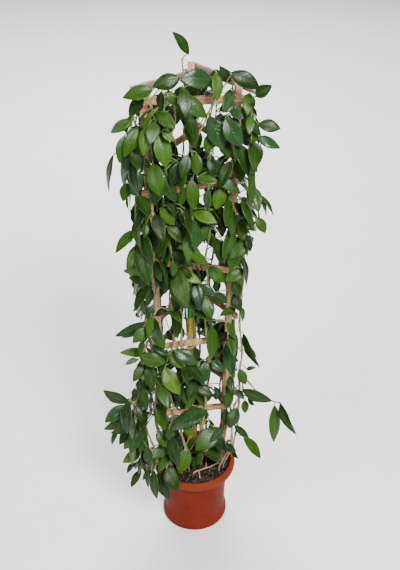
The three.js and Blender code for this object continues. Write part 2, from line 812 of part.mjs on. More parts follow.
// A leaf given by its places as seen keeps them, and slides in and out along the line of sight.
function frontLeaf(name, trail, row) {
  const [baseX, baseZ, tipX, tipZ, seenWidth, baseOut = 4, tipOut] = row;
  const drop = baseZ - tipZ;
  const fall = (EYE.z - baseZ) / -EYE.y;
  const hang = drop > 0 ? (RISE * fall * drop) / (1 + fall * fall) : 8;
  const lean = tipOut === undefined ? baseOut + hang + 6 * random() : tipOut;
  const chance = random();
  for (const move of MOVES) {
    for (const bend of BENDS) {
      const base = frontPlace(baseX, baseZ, baseOut + move);
      const tip = frontPlace(tipX, tipZ, lean + move + bend);
      const length = base.distanceTo(tip);
      const fullWidth = THREE.MathUtils.clamp(0.42 * length, 22, 44);
      const width = Math.max(seenWidth, fullWidth);
      const turned = Math.acos(Math.min(1, seenWidth / width));
      const roll = (chance < 0.5 ? -1 : 1) * (0.85 * turned + 0.12);
      const facing = new THREE.Vector3(0, -0.8, 0.6);
      const root = nearestOnTrail(trail, base.clone().add(new THREE.Vector3(0, 0, 8)));
      const leaf = makeLeaf(root, base, tip, width, roll, 0.1 + 0.08 * chance, facing);
      if (leafIsClear(name, leaf)) return leaf;
    }
  }
  return null;
}

// Stems on the sides and the back climb by a rule. `turn` counts faces round the tower: 0 to 1 is the right
// side, from its front post to the back post, and 1 to 2 is the left side, back to its front post.
const BACK_STEMS = {
  stem_side_1: { turn: 0.2, foot: 0.28, drift: 0.12, top: 1215, leafFrom: 240 },
  stem_side_2: { turn: 0.46, foot: 0.46, drift: -0.14, top: 1190, leafFrom: 250 },
  stem_side_3: { turn: 0.72, foot: 0.66, drift: -0.1, top: 1225, leafFrom: 240 },
  stem_side_4: { turn: 0.9, foot: 0.8, drift: 0.06, top: 1190, leafFrom: 260 },
  stem_side_5: { turn: 1.1, foot: 1.22, drift: 0.04, top: 1265, leafFrom: 240, hasTopLeaf: true },
  stem_side_6: { turn: 1.32, foot: 1.36, drift: 0.1, top: 1200, leafFrom: 250 },
  stem_side_7: { turn: 1.56, foot: 1.54, drift: 0.08, top: 1215, leafFrom: 240 },
  stem_side_8: { turn: 1.8, foot: 1.72, drift: 0.06, top: 1210, leafFrom: 250 },
};
const NODE_STEP = 56;

// A place round the tower, `out` from the line between two posts.
function roundPlace(turn, z, out) {
  const corners = ["right", "back", "left"];
  const face = turn < 1 ? 0 : 1;
  const a = postAt(corners[face], z);
  const b = postAt(corners[face + 1], z);
  const along = b.clone().sub(a).normalize();
  const normal = new THREE.Vector3(along.y, -along.x, 0);
  const place = a.clone().lerp(b, turn - face);
  const away = place.clone().sub(axisAt(z)).setZ(0).normalize();
  if (away.dot(normal) < 0) normal.negate();
  return place.addScaledVector(away, out / Math.max(0.66, away.dot(normal)));
}

function backStem(name, { turn, foot, drift, top }) {
  const hole = roundPlace(foot, SOIL_TOP, -10);
  const points = [hole.clone().setZ(SOIL_TOP - 9), hole.clone().setZ(SOIL_TOP + 12)];
  points.push(roundPlace(foot, SOIL_TOP + 38, 12));
  const phase = random() * 6;
  for (let z = SOIL_TOP + 66; z <= top; z += NODE_STEP) {
    const share = (z - SOIL_TOP) / (top - SOIL_TOP);
    const sway = 0.035 * Math.sin(z / 60 + phase);
    points.push(roundPlace(turn + drift * share + sway, z, FACE_DEPTH + 3 * Math.sin(z / 47 + phase)));
  }
  return clearedTrail(name, points);
}

const TRIES = 10;

// One leaf of an opposite pair. It sets off to one side of straight out, and every try turns it further
// towards the other side, makes it smaller and hangs it a little differently.
function nodeLeaf(name, node, hand) {
  const out = node.clone().sub(axisAt(node.z)).setZ(0).normalize();
  const spread = 0.5 + 0.8 * random();
  const length = 66 + 34 * random();
  const hang = 0.5 + 0.75 * random();
  const roll = 0.7 * (random() - 0.5);
  for (let attempt = 0; attempt < TRIES; attempt++) {
    const turn = hand * (spread - 0.28 * attempt + 0.1 * (attempt % 3));
    const down = hang + 0.14 * (attempt % 4) - 0.4 * (attempt > 5);
    const size = length * (1 - 0.035 * attempt);
    const heading = out.clone().applyAxisAngle(new THREE.Vector3(0, 0, 1), turn);
    const base = node.clone().addScaledVector(heading, 13).add(new THREE.Vector3(0, 0, 3));
    const flat = size * Math.cos(down);
    const tip = base.clone().addScaledVector(heading, flat);
    tip.z -= size * Math.sin(down);
    const facing = out.clone().multiplyScalar(0.8).setZ(0.6);
    const leaf = makeLeaf(node.clone(), base, tip, 0.43 * size, roll, 0.15, facing);
    const points = leafPoints(leaf);
    const seen = points.map(coveredPlace);
    if (!seen.every(insideOutline) || seen.some(insideGap)) continue;
    if (leafIsClear(name, leaf)) return leaf;
  }
  return null;
}

// The highest leaf stands up from the end of its stem, above the back post.
function topLeaf(end) {
  const base = end.clone().add(new THREE.Vector3(16, -5, 14));
  const tip = base.clone().add(new THREE.Vector3(-36, -5, 50));
  return makeLeaf(end.clone(), base, tip, 30, 0.5, 0.1, new THREE.Vector3(0.3, -0.9, 0.3));
}

// Bare stems lie across the soil, each from one hole to another or to its cut end, as [x, y, height].
const BARE_RADIUS = 2.4;
const BARE_STEMS = [
  [
    [-2, -50, -9], [-2, -50, 9], [9, -44, 9], [20, -39, 9], [42, -28, 8], [60, -16, 8], [68, -12, 8],
    [68, -12, -9],
  ],
  [[29, 24, -9], [29, 24, 9], [31, 6, 9], [32, -9, 9], [31, -33, 9]],
  [[12, -44, 9], [14, -58, 7], [15, -68, 6]],
];

// ---------------------------------------------------------------------------------------------------
// The parts, in the order in which they are put together.

const plant = new THREE.Group();

function add(name, geometry, color, roughness, metalness = 0) {
  const material = new THREE.MeshStandardMaterial({ color, roughness, metalness });
  const mesh = new THREE.Mesh(geometry, material);
  mesh.name = name;
  plant.add(mesh);
}

// The wood goes in first, so that the stems can go round it.
const posts = {};
for (const name of Object.keys(POST_LINES)) {
  const foot = postAt(name, POST_FOOT);
  const top = postAt(name, POST_TOPS[name]);
  posts[name] = [foot, top];
  add(`post_${name}`, bar(foot, top, POST_SIDE, facingOf(name)), 0xc9a37a, 0.8);
  addPiece("wood", "wood", WOOD_CLEARANCE, pointsAlong(foot, top, 9));
}
for (const [name, [face, firstHeight, secondHeight, extra]] of Object.entries(SLATS)) {
  const line = slatLine(face, firstHeight, secondHeight, extra);
  add(name, slatGeometry(line), name === "slat_right_5" ? 0xa89a90 : 0xcfae85, 0.85);
  addPiece("wood", "wood", WOOD_CLEARANCE - 1, pointsAlong(line.a, line.b, 9));
}
for (const [name, [post, height]] of Object.entries(TIES)) {
  add(name, tieSolid(post, height), 0xd8586a, 0.7);
  const above = postAt(post, height + 3);
  const below = postAt(post, height - 3);
  addPiece("wood", "wood", WOOD_CLEARANCE + 4, [above, below]);
}
add("cane", caneGeometry(), 0xb9b526, 0.4);
addPiece("wood", "wood", WOOD_CLEARANCE - 1, pointsAlong(CANE_LINE[0], CANE_LINE[1], 9));

// The bare stems on the soil.
const onSoil = ([x, y, height]) => new THREE.Vector3(x, y, SOIL_TOP + height);
const bareTrails = BARE_STEMS.map((places) => places.map(onSoil));
const bareSolids = bareTrails.map((trail) => solidOf(stemGeometry(trail, BARE_RADIUS, 5)));
add("bare_stems", geometryOf(joined(bareSolids)), 0xc9b58c, 0.7);
for (const trail of bareTrails) {
  for (let i = 1; i < trail.length; i++) {
    addPiece("bare", "stem", STEM_CLEARANCE, pointsAlong(trail[i - 1], trail[i], 8));
  }
}

// Stems, and then their leaves.
const trails = {};
for (const [name, stem] of Object.entries(FRONT_STEMS)) trails[name] = frontStem(name, stem);
for (const [name, stem] of Object.entries(BACK_STEMS)) trails[name] = backStem(name, stem);
const leaves = {};
for (const name of Object.keys(trails)) leaves[name] = [];
for (const [name, stem] of Object.entries(FRONT_STEMS)) {
  for (const row of stem.leaves) {
    const leaf = frontLeaf(name, trails[name], row);
    if (leaf) keepLeaf(name, leaf, leaves[name]);
  }
}
// Smaller leaves fill the front stems wherever there is still room.
for (const name of Object.keys(FRONT_STEMS)) {
  trails[name].forEach((node, i) => {
    if (i < 3) return;
    for (const hand of [1, -1]) {
      const leaf = nodeLeaf(name, node, hand);
      if (leaf) keepLeaf(name, leaf, leaves[name]);
    }
  });
}
for (const [name, { leafFrom, hasTopLeaf }] of Object.entries(BACK_STEMS)) {
  if (hasTopLeaf) keepLeaf(name, topLeaf(trails[name].at(-1)), leaves[name]);
  trails[name].forEach((node, i) => {
    if (node.z < leafFrom) return;
    for (const hand of i % 2 ? [1, -1] : [-1, 1]) {
      const leaf = nodeLeaf(name, node, hand);
      if (leaf) keepLeaf(name, leaf, leaves[name]);
    }
  });
}
for (const [name, trail] of Object.entries(trails)) {
  const solids = [solidOf(stemGeometry(trail, STEM_RADIUS))];
  for (const leaf of leaves[name]) solids.push(solidOf(leafGeometry(leaf)));
  add(name, geometryOf(joined(solids)), 0x3d7a2c, 0.35);
}

// The pot, and the soil with its holes.
const potGeometry = new THREE.LatheGeometry(POT_OUTLINE.map(([r, z]) => new THREE.Vector2(r, z)), POT_SIDES);
add("pot", potGeometry.rotateX(Math.PI / 2), 0xa8452a, 0.45);
const soilOutline = [
  [0, POT_FLOOR + GAP], [76.6, POT_FLOOR + GAP], [78.6, 6 + GAP], [80, 50], [82.5, 100], [87.8, 154],
  [94, SOIL_TOP - 1], [84, SOIL_TOP + 0.5], [45, SOIL_TOP + SOIL_MOUND], [0, SOIL_TOP + SOIL_MOUND],
];
const soilGeometry = new THREE.LatheGeometry(soilOutline.map(([r, z]) => new THREE.Vector2(r, z)), POT_SIDES);
let soil = solidOf(soilGeometry.rotateX(Math.PI / 2));
for (const [name, [foot, top]] of Object.entries(posts)) {
  const along = top.clone().sub(foot).normalize();
  const low = foot.clone().addScaledVector(along, -GAP);
  const high = foot.clone().addScaledVector(along, 200);
  soil = soil.subtract(solidOf(bar(low, high, POST_SIDE + 2 * GAP, facingOf(name))));
}
const caneWay = CANE_LINE[1].clone().sub(CANE_LINE[0]).normalize();
const caneLow = CANE_LINE[0].clone().addScaledVector(caneWay, -GAP);
const caneHigh = CANE_LINE[0].clone().addScaledVector(caneWay, 200);
soil = soil.subtract(solidOf(bar(caneLow, caneHigh, 2 * CANE_RADIUS + 2.4)));
const holes = Object.values(trails).map((trail) => trail[0]);
holes.push(bareTrails[0][0], bareTrails[0].at(-1), bareTrails[1][0]);
for (const hole of holes) {
  const low = hole.clone().setZ(hole.z - GAP);
  const high = hole.clone().setZ(SOIL_TOP + 20);
  soil = soil.subtract(solidOf(bar(low, high, 2 * STEM_RADIUS + 2 * GAP)));
}
add("soil", geometryOf(soil), 0x2a201a, 0.95);

export default plant;
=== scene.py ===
import math
import random

import bpy
import numpy as np
from mathutils import Matrix, Vector, noise


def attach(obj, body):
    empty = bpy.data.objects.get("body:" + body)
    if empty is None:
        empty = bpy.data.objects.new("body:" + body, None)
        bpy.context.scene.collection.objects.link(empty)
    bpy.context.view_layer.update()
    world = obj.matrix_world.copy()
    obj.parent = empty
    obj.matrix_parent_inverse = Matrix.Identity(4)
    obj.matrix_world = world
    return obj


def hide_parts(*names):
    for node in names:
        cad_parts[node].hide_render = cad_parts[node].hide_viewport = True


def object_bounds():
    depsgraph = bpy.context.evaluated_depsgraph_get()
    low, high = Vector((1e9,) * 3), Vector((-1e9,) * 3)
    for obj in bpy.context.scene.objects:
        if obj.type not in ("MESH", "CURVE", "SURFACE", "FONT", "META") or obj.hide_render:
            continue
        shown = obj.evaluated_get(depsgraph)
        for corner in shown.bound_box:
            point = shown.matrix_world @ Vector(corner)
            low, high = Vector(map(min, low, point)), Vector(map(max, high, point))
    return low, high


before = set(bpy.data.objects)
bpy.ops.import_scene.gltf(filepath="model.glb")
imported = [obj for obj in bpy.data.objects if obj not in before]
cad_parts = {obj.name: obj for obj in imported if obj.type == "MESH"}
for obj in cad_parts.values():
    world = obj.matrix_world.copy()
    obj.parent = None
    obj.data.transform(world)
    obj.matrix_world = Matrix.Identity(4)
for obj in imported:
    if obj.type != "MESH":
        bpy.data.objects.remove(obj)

# A potted hoya trained round a three-post wooden tower. Lengths are in metres, except in the lists of
# places and in the leafy stems' section, which are in millimetres. Front is -Y, up is +Z.
cad_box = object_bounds()

# ---------------------------------------------------------------------------------------------------
# Floor, light and camera. A pale floor, three large soft lamps and a pale room, seen by somebody who
# stands in front of the plant and looks down at it.

LENS = 53.7
FILM_WIDTH = 36
EYE_PLACE = (0.0151, -1.7, 1.8308)
EYE_TILT = 57.5  # degrees up from straight down
# Each lamp's name, place, aim, size and power.
LAMPS = [
    ("lamp_front", (1.3, -3.1, 4.2), (0, 0, 0.6), 1.3, 450),
    ("lamp_front_left", (-2.0, -1.9, 2.6), (0, 0, 0.7), 1.0, 45),
    ("lamp_behind", (-0.4, 3.4, 4.0), (0, 1.8, 0), 3.0, 430),
]
ROOM_COLOUR = (1.0, 0.98, 0.94, 1)
ROOM_STRENGTH = 0.14
FLOOR_HALF = 9

camera = bpy.data.objects.new("camera", bpy.data.cameras.new("camera"))
camera.data.lens = LENS
camera.data.sensor_width = FILM_WIDTH
camera.location = EYE_PLACE
camera.rotation_euler = (math.radians(EYE_TILT), 0, 0)
camera.data.clip_end = 60
bpy.context.scene.collection.objects.link(camera)
bpy.context.scene.camera = camera

for name, stands_at, aim, size, power in LAMPS:
    lamp = bpy.data.objects.new(name, bpy.data.lights.new(name, "AREA"))
    lamp.data.size = size
    lamp.data.energy = power
    lamp.location = stands_at
    lamp.rotation_euler = (Vector(aim) - Vector(stands_at)).to_track_quat("-Z", "Y").to_euler()
    bpy.context.scene.collection.objects.link(lamp)

room = bpy.data.worlds.new("pale_room")
room.use_nodes = True
room.node_tree.nodes["Background"].inputs["Color"].default_value = ROOM_COLOUR
room.node_tree.nodes["Background"].inputs["Strength"].default_value = ROOM_STRENGTH
bpy.context.scene.world = room


def new_material(name):
    """A material with one shader on its surface, as (material, node tree, shader)."""
    material = bpy.data.materials.new(name)
    material.use_nodes = True
    tree = material.node_tree
    tree.nodes.clear()
    output = tree.nodes.new("ShaderNodeOutputMaterial")
    shader = tree.nodes.new("ShaderNodeBsdfPrincipled")
    tree.links.new(shader.outputs["BSDF"], output.inputs["Surface"])
    return material, tree, shader


def fill(tree, node, inputs):
    """Links a node's inputs where a socket is given, and sets them where a value is."""
    for key, value in inputs.items():
        if isinstance(value, bpy.types.NodeSocket):
            tree.links.new(value, node.inputs[key])
        else:
            node.inputs[key].default_value = value


def place(tree, kind, inputs, **settings):
    node = tree.nodes.new(kind)
    for key, value in settings.items():
        setattr(node, key, value)
    fill(tree, node, inputs)
    return node


def mixed(tree, share, a, b):
    """A colour between a and b, each a socket or three numbers."""
    a, b = (c if isinstance(c, bpy.types.NodeSocket) else (*c, 1) for c in (a, b))
    return place(tree, "ShaderNodeMix", {0: share, 6: a, 7: b}, data_type="RGBA").outputs[2]


def noise_at(tree, where, scale, detail, **others):
    inputs = {"Vector": where, "Scale": scale, "Detail": detail, **others}
    return place(tree, "ShaderNodeTexNoise", inputs).outputs["Fac"]


def own_place(tree):
    """The surface's place in the object's own frame, in metres."""
    return place(tree, "ShaderNodeTexCoord", {}).outputs["Object"]


def new_piece(name, verts, faces, materials, smooth=True, face_materials=None, attributes=None):
    """A mesh object. Attributes are {name: one number or vector per vertex}."""
    mesh = bpy.data.meshes.new(name)
    mesh.from_pydata([tuple(v) for v in verts], [], faces)
    for material in materials:
        mesh.materials.append(material)
    if face_materials is not None:
        mesh.polygons.foreach_set("material_index", np.asarray(face_materials, np.int32))
    mesh.polygons.foreach_set("use_smooth", np.full(len(faces), smooth))
    for key, values in (attributes or {}).items():
        values = np.asarray(values, np.float32)
        kind, field = ("FLOAT_VECTOR", "vector") if values.ndim > 1 else ("FLOAT", "value")
        mesh.attributes.new(key, kind, "POINT").data.foreach_set(field, values.ravel())
    mesh.validate()
    mesh.update()
    piece = bpy.data.objects.new(name, mesh)
    bpy.context.scene.collection.objects.link(piece)
    return piece


floor_material, tree, shader = new_material("pale_floor")
pale = mixed(tree, noise_at(tree, own_place(tree), 2.5, 3), (0.86, 0.86, 0.855), (0.9, 0.9, 0.895))
fill(tree, shader, {"Base Color": pale, "Roughness": 0.8})
corners = [(x * FLOOR_HALF, y * FLOOR_HALF, 0) for x, y in ((-1, -1), (1, -1), (1, 1), (-1, 1))]
floor = new_piece("floor", corners, [(0, 1, 2, 3)], [floor_material])

# ---------------------------------------------------------------------------------------------------
# The pot is one piece of terracotta-coloured plastic, moulded with a thick rolled rim, a faint bead under
# it, a waisted wall and a rounded foot. It is turned from one outline of [radius, height] places.

POT_OUTLINE = [
    [0, 0], [70, 0.4], [80, 0], [84.6, 0.9], [87.2, 4.2], [88.4, 9], [88.4, 15], [87.2, 23],
    [84.9, 31], [83.3, 38], [82.6, 47], [82.8, 62], [83.8, 82], [85.2, 105], [86.8, 128], [88.2, 143],
    [88.6, 145.4], [89.4, 146.6], [89.5, 148.4], [88.9, 149.8], [89.4, 152], [91.6, 157.4],
    [96.5, 162.2], [102.5, 165.8], [106.8, 170.5], [109.2, 176.5], [110, 183], [109, 188.8],
    [106.4, 192.9], [102.8, 194.8], [99.4, 194.6], [97.0, 192.4], [95.9, 188], [95.3, 180],
    [94.4, 170], [89, 155], [84, 110], [81, 55], [79, 6], [77, 4], [0, 4],
]
POT_SEGMENTS = 144
MM = 0.001


def turned(name, outline, segments, material):
    """A closed solid turned round +Z from an outline in millimetres that starts and ends on the axis."""
    verts, faces, rows = [], [], []
    for radius, height in outline:
        if radius == 0:
            rows.append([len(verts)] * segments)
            verts.append((0, 0, height * MM))
            continue
        rows.append(list(range(len(verts), len(verts) + segments)))
        for k in range(segments):
            angle = 2 * math.pi * k / segments
            verts.append((radius * MM * math.cos(angle), radius * MM * math.sin(angle), height * MM))
    for low, high in zip(rows, rows[1:]):
        for k in range(segments):
            after = (k + 1) % segments
            ring = [low[k], low[after], high[after], high[k]]
            faces.append(tuple(dict.fromkeys(ring)))
    return new_piece(name, verts, faces, [material])


def rounded_outline(outline):
    """Cuts each corner of an outline, apart from its two ends."""
    finer = [outline[0]]
    for (r1, z1), (r2, z2) in zip(outline, outline[1:]):
        finer.append([0.75 * r1 + 0.25 * r2, 0.75 * z1 + 0.25 * z2])
        finer.append([0.25 * r1 + 0.75 * r2, 0.25 * z1 + 0.75 * z2])
    return finer + [outline[-1]]


def new_group(name, sockets):
    """An empty node group, as (group, its inputs, a function that links its outputs)."""
    group = bpy.data.node_groups.new(name, "ShaderNodeTree")
    for label, in_out, kind in sockets:
        group.interface.new_socket(label, in_out=in_out, socket_type="NodeSocket" + kind)
    inputs = group.nodes.new("NodeGroupInput").outputs
    outputs = group.nodes.new("NodeGroupOutput").inputs
    return group, inputs, lambda label, socket: group.links.new(socket, outputs[label])


def use_group(tree, group, inputs):
    return place(tree, "ShaderNodeGroup", inputs, node_tree=group).outputs


def calculate(tree, operation, *values, clamp=False):
    inputs = dict(enumerate(values))
    return place(tree, "ShaderNodeMath", inputs, operation=operation, use_clamp=clamp).outputs[0]


def spread(tree, value, low, high, to_low=0.0, to_high=1.0):
    """The value's range from low to high, moved to another range and held inside it."""
    inputs = {0: value, 1: low, 2: high, 3: to_low, 4: to_high}
    return place(tree, "ShaderNodeMapRange", inputs).outputs[0]


def split(tree, vector):
    """A vector's parts, by the names X, Y and Z."""
    return place(tree, "ShaderNodeSeparateXYZ", {0: vector}).outputs


def bumped(tree, shader, height, distance):
    """Raises the shader's surface by a height from 0 to 1 times the distance."""
    bump = place(tree, "ShaderNodeBump", {"Height": height, "Distance": distance, "Strength": 1.0})
    tree.links.new(bump.outputs["Normal"], shader.inputs["Normal"])


# Uneven colour, in broad clouds with a finer speckle over them.
soft_mottle, given, give = new_group("soft_mottle", [
    ("Vector", "INPUT", "Vector"), ("Scale", "INPUT", "Float"), ("Dark", "INPUT", "Color"),
    ("Light", "INPUT", "Color"), ("Color", "OUTPUT", "Color"), ("Value", "OUTPUT", "Float"),
])
broad = calculate(soft_mottle, "MULTIPLY", noise_at(soft_mottle, given["Vector"], given["Scale"], 4), 0.75)
finer_scale = calculate(soft_mottle, "MULTIPLY", given["Scale"], 7.3)
finer = noise_at(soft_mottle, given["Vector"], finer_scale, 6)
level = spread(soft_mottle, calculate(soft_mottle, "MULTIPLY_ADD", finer, 0.45, broad), 0.4, 0.8)
give("Value", level)
give("Color", mixed(soft_mottle, level, given["Dark"], given["Light"]))

# Dust that has settled on whatever faces up, in patches.
settled_dust, given, give = new_group("settled_dust", [
    ("Vector", "INPUT", "Vector"), ("Color", "INPUT", "Color"), ("Dust", "INPUT", "Color"),
    ("Amount", "INPUT", "Float"), ("Color", "OUTPUT", "Color"), ("Mask", "OUTPUT", "Float"),
])
normal = place(settled_dust, "ShaderNodeNewGeometry", {}).outputs["Normal"]
upward = spread(settled_dust, split(settled_dust, normal)["Z"], 0.2, 0.95)
patchy = spread(settled_dust, noise_at(settled_dust, given["Vector"], 55, 5), 0.42, 0.68)
settled = calculate(settled_dust, "MULTIPLY", upward, patchy)
mask = calculate(settled_dust, "MULTIPLY", settled, given["Amount"])
give("Mask", mask)
give("Color", mixed(settled_dust, mask, given["Color"], given["Dust"]))


def mottled(tree, where, scale, dark, light):
    inputs = {"Vector": where, "Scale": scale, "Dark": (*dark, 1), "Light": (*light, 1)}
    return use_group(tree, soft_mottle, inputs)


def dusted(tree, where, colour, dust, amount):
    inputs = {"Vector": where, "Color": colour, "Dust": (*dust, 1), "Amount": amount}
    return use_group(tree, settled_dust, inputs)


terracotta, tree, shader = new_material("terracotta_plastic")
where = own_place(tree)
tone = mottled(tree, where, 14, (0.106, 0.0135, 0.0065), (0.155, 0.021, 0.0105))
height = split(tree, where)["Z"]
# Watering has left soil marks on the rim's lip and a band of splashes low on the wall.
near_soil = calculate(tree, "MULTIPLY", spread(tree, height, 0.176, 0.196), 0.5)
near_floor = calculate(tree, "MULTIPLY", spread(tree, height, 0.045, 0.004), 0.6)
spots = spread(tree, noise_at(tree, where, 90, 8, Roughness=0.7), 0.55, 0.7)
soiled = calculate(tree, "MULTIPLY", spots, calculate(tree, "MAXIMUM", near_soil, near_floor))
dirty = mixed(tree, soiled, tone["Color"], (0.09, 0.045, 0.03))
# Fine scuffs run round the wall.
round_wall = place(tree, "ShaderNodeMapping", {"Vector": where, "Scale": (9, 9, 260)}).outputs[0]
scuffs = noise_at(tree, round_wall, 3, 8, Roughness=0.75)
scuffed_wall = mixed(tree, spread(tree, scuffs, 0.6, 0.75, 0, 0.22), dirty, (0.18, 0.033, 0.01))
# A painted highlight makes the rim a little lighter than the wall.
wear_and_painted_highlight = mixed(tree, spread(tree, height, 0.158, 0.18, 0, 0.4), scuffed_wall, (0.22, 0.045, 0.014))
dusty = dusted(tree, where, wear_and_painted_highlight, (0.18, 0.05, 0.025), 0.18)
rougher = calculate(tree, "ADD", calculate(tree, "MULTIPLY", soiled, 0.3), 0.36)
gloss = calculate(tree, "MULTIPLY_ADD", tone["Value"], 0.14, rougher)
fill(tree, shader, {
    "Base Color": dusty["Color"], "Specular IOR Level": 0.01, "Coat Weight": 0.04, "Coat Roughness": 0.25,
    "Roughness": calculate(tree, "ADD", gloss, calculate(tree, "MULTIPLY", dusty["Mask"], 0.3)),
})
bumped(tree, shader, calculate(tree, "ADD", noise_at(tree, where, 420, 3), scuffs), 0.00022)

pot = turned("pot_wall", rounded_outline(POT_OUTLINE), POT_SEGMENTS, terracotta)
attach(pot, "root")
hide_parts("pot")

# ---------------------------------------------------------------------------------------------------
# Dark potting soil fills the pot to just under the rim. Its top is a lumpy bed, with bark chips, pale
# crumbs and small clods lying on it.

SOIL_EDGE = 0.0942
SOIL_TOP = 0.176
SOIL_MOUND = 0.004
SOIL_RINGS = 56
SOIL_SPOKES = 132
# What lies on the soil: how many, the material's number, the longest, and how flat it is.
CHIPS = [(230, 0, 0.0075, 0.3), (150, 1, 0.0017, 0.8), (420, 2, 0.0026, 0.75)]


def soil_height(x, y):
    radius = math.hypot(x, y)
    mound = SOIL_MOUND * max(0.0, min(1.0, (0.084 - radius) / 0.04))
    lumps = 0.0024 * noise.noise(Vector((x, y, 0)) * 62) + 0.0014 * noise.noise(Vector((x, y, 0.3)) * 190)
    return SOIL_TOP + mound + lumps - 0.001


verts = [(0, 0, soil_height(0, 0))]
for i in range(1, SOIL_RINGS + 1):
    for k in range(SOIL_SPOKES):
        angle = 2 * math.pi * k / SOIL_SPOKES
        x = SOIL_EDGE * i / SOIL_RINGS * math.cos(angle)
        y = SOIL_EDGE * i / SOIL_RINGS * math.sin(angle)
        verts.append((x, y, soil_height(x, y)))
verts += [(0.92 * x, 0.92 * y, SOIL_TOP - 0.02) for x, y, z in verts[-SOIL_SPOKES:]]
faces = [(0, 1 + k, 1 + (k + 1) % SOIL_SPOKES) for k in range(SOIL_SPOKES)]
for start in range(1, 1 + SOIL_RINGS * SOIL_SPOKES, SOIL_SPOKES):
    for k in range(SOIL_SPOKES):
        a, b = start + k, start + (k + 1) % SOIL_SPOKES
        faces.append((a, a + SOIL_SPOKES, b + SOIL_SPOKES, b))
faces.append(tuple(range(len(verts) - 1, len(verts) - SOIL_SPOKES - 1, -1)))

soil_material, tree, shader = new_material("potting_soil")
where = own_place(tree)
tone = mottled(tree, where, 60, (0.008, 0.005, 0.004), (0.028, 0.017, 0.012))
grit = place(tree, "ShaderNodeTexVoronoi", {"Vector": where, "Scale": 520}).outputs["Distance"]
specks = spread(tree, grit, 0.0, 0.16, 1, 0)
speckled = mixed(tree, calculate(tree, "MULTIPLY", specks, 0.35), tone["Color"], (0.16, 0.1, 0.07))
fill(tree, shader, {"Base Color": speckled, "Roughness": 0.92, "Specular IOR Level": 0.15})
bumped(tree, shader, calculate(tree, "ADD", tone["Value"], specks), 0.0011)

soil = new_piece("soil_bed", verts, faces, [soil_material])
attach(soil, "root")
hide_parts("soil")


def lump_material(name, scale, dark, light, roughness, relief):
    material, tree, shader = new_material(name)
    tone = mottled(tree, own_place(tree), scale, dark, light)
    fill(tree, shader, {"Base Color": tone["Color"], "Roughness": roughness})
    bumped(tree, shader, tone["Value"], relief)
    return material


bark = lump_material("bark_chip", 120, (0.018, 0.008, 0.006), (0.075, 0.038, 0.026), 0.85, 0.0006)
crumb = lump_material("pale_crumb", 300, (0.16, 0.12, 0.09), (0.42, 0.36, 0.3), 0.9, 0.0003)

# A lump starts as a regular solid with twenty faces.
GOLD = (1 + math.sqrt(5)) / 2
LUMP_CORNERS = [
    (-1, GOLD, 0), (1, GOLD, 0), (-1, -GOLD, 0), (1, -GOLD, 0), (0, -1, GOLD), (0, 1, GOLD),
    (0, -1, -GOLD), (0, 1, -GOLD), (GOLD, 0, -1), (GOLD, 0, 1), (-GOLD, 0, -1), (-GOLD, 0, 1),
]
LUMP_FACES = [
    (0, 11, 5), (0, 5, 1), (0, 1, 7), (0, 7, 10), (0, 10, 11), (1, 5, 9), (5, 11, 4), (11, 10, 2),
    (10, 7, 6), (7, 1, 8), (3, 9, 4), (3, 4, 2), (3, 2, 6), (3, 6, 8), (3, 8, 9), (4, 9, 5), (2, 4, 11),
    (6, 2, 10), (8, 6, 7), (9, 8, 1),
]
draw = random.Random(11)
verts, faces, kinds = [], [], []
for count, kind, longest, flatness in CHIPS:
    for _ in range(count):
        distance = (SOIL_EDGE - 0.004) * math.sqrt(draw.random())
        angle = draw.uniform(0, 2 * math.pi)
        x, y = distance * math.cos(angle), distance * math.sin(angle)
        size = longest * draw.uniform(0.45, 1.0)
        turn = Matrix.Rotation(draw.uniform(0, 6.3), 3, "Z")
        turn = turn @ Matrix.Rotation(draw.uniform(-0.5, 0.5), 3, "X")
        wide = size * draw.uniform(0.35, 0.7) if kind == 0 else size * 0.85
        stretch = Vector((size, wide, size * flatness * draw.uniform(0.5, 1))) * 0.53
        middle = Vector((x, y, soil_height(x, y) + stretch.z * 0.6))
        start = len(verts)
        for corner in LUMP_CORNERS:
            rough = Vector(corner) * draw.uniform(0.75, 1.15)
            shaped = Vector((rough.x * stretch.x, rough.y * stretch.y, rough.z * stretch.z))
            verts.append(middle + turn @ shaped)
        faces += [tuple(start + k for k in face) for face in LUMP_FACES]
        kinds += [kind] * len(LUMP_FACES)
chips = new_piece("soil_chips", verts, faces, [bark, crumb, soil_material], False, kinds)
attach(chips, "root")

# ---------------------------------------------------------------------------------------------------
# Three square posts of sawn wood stand in the soil and lean a little outwards. Each has eased edges, a
# slight bow and a rough cut top, and the right one is stained where it comes out of the leaves.

EASED_EDGE = 0.0012
TIMBER_STEP = 0.015
RAGGED_END = 0.0016
POST_BOWS = {"left": 0.0012, "right": -0.001, "back": 0.001}


def bar_frame(node):
    """A square-cut bar's middle, and its length, width and thickness as vectors."""
    corners = {tuple(round(c, 6) for c in v.co): v.co.copy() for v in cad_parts[node].data.vertices}
    corners = list(corners.values())
    first = min(corners, key=lambda c: (round(c.z, 3), c.x))
    others = sorted((c - first for c in corners), key=lambda edge: edge.length)
    thin, wide, long = others[1], others[2], others[4]
    return sum(corners, Vector()) / len(corners), (long, wide, thin)


def ring_faces(start, sides, rows):
    """The faces between rows of ring places, and the two that close the ends."""
    listed = []
    for low in range(start, start + rows * sides, sides):
        for k in range(sides):
            a, b = low + k, low + (k + 1) % sides
            listed.append((a, b, b + sides, a + sides))
    listed.append(tuple(reversed(range(start, start + sides))))
    listed.append(tuple(range(start + rows * sides, start + (rows + 1) * sides)))
    return listed


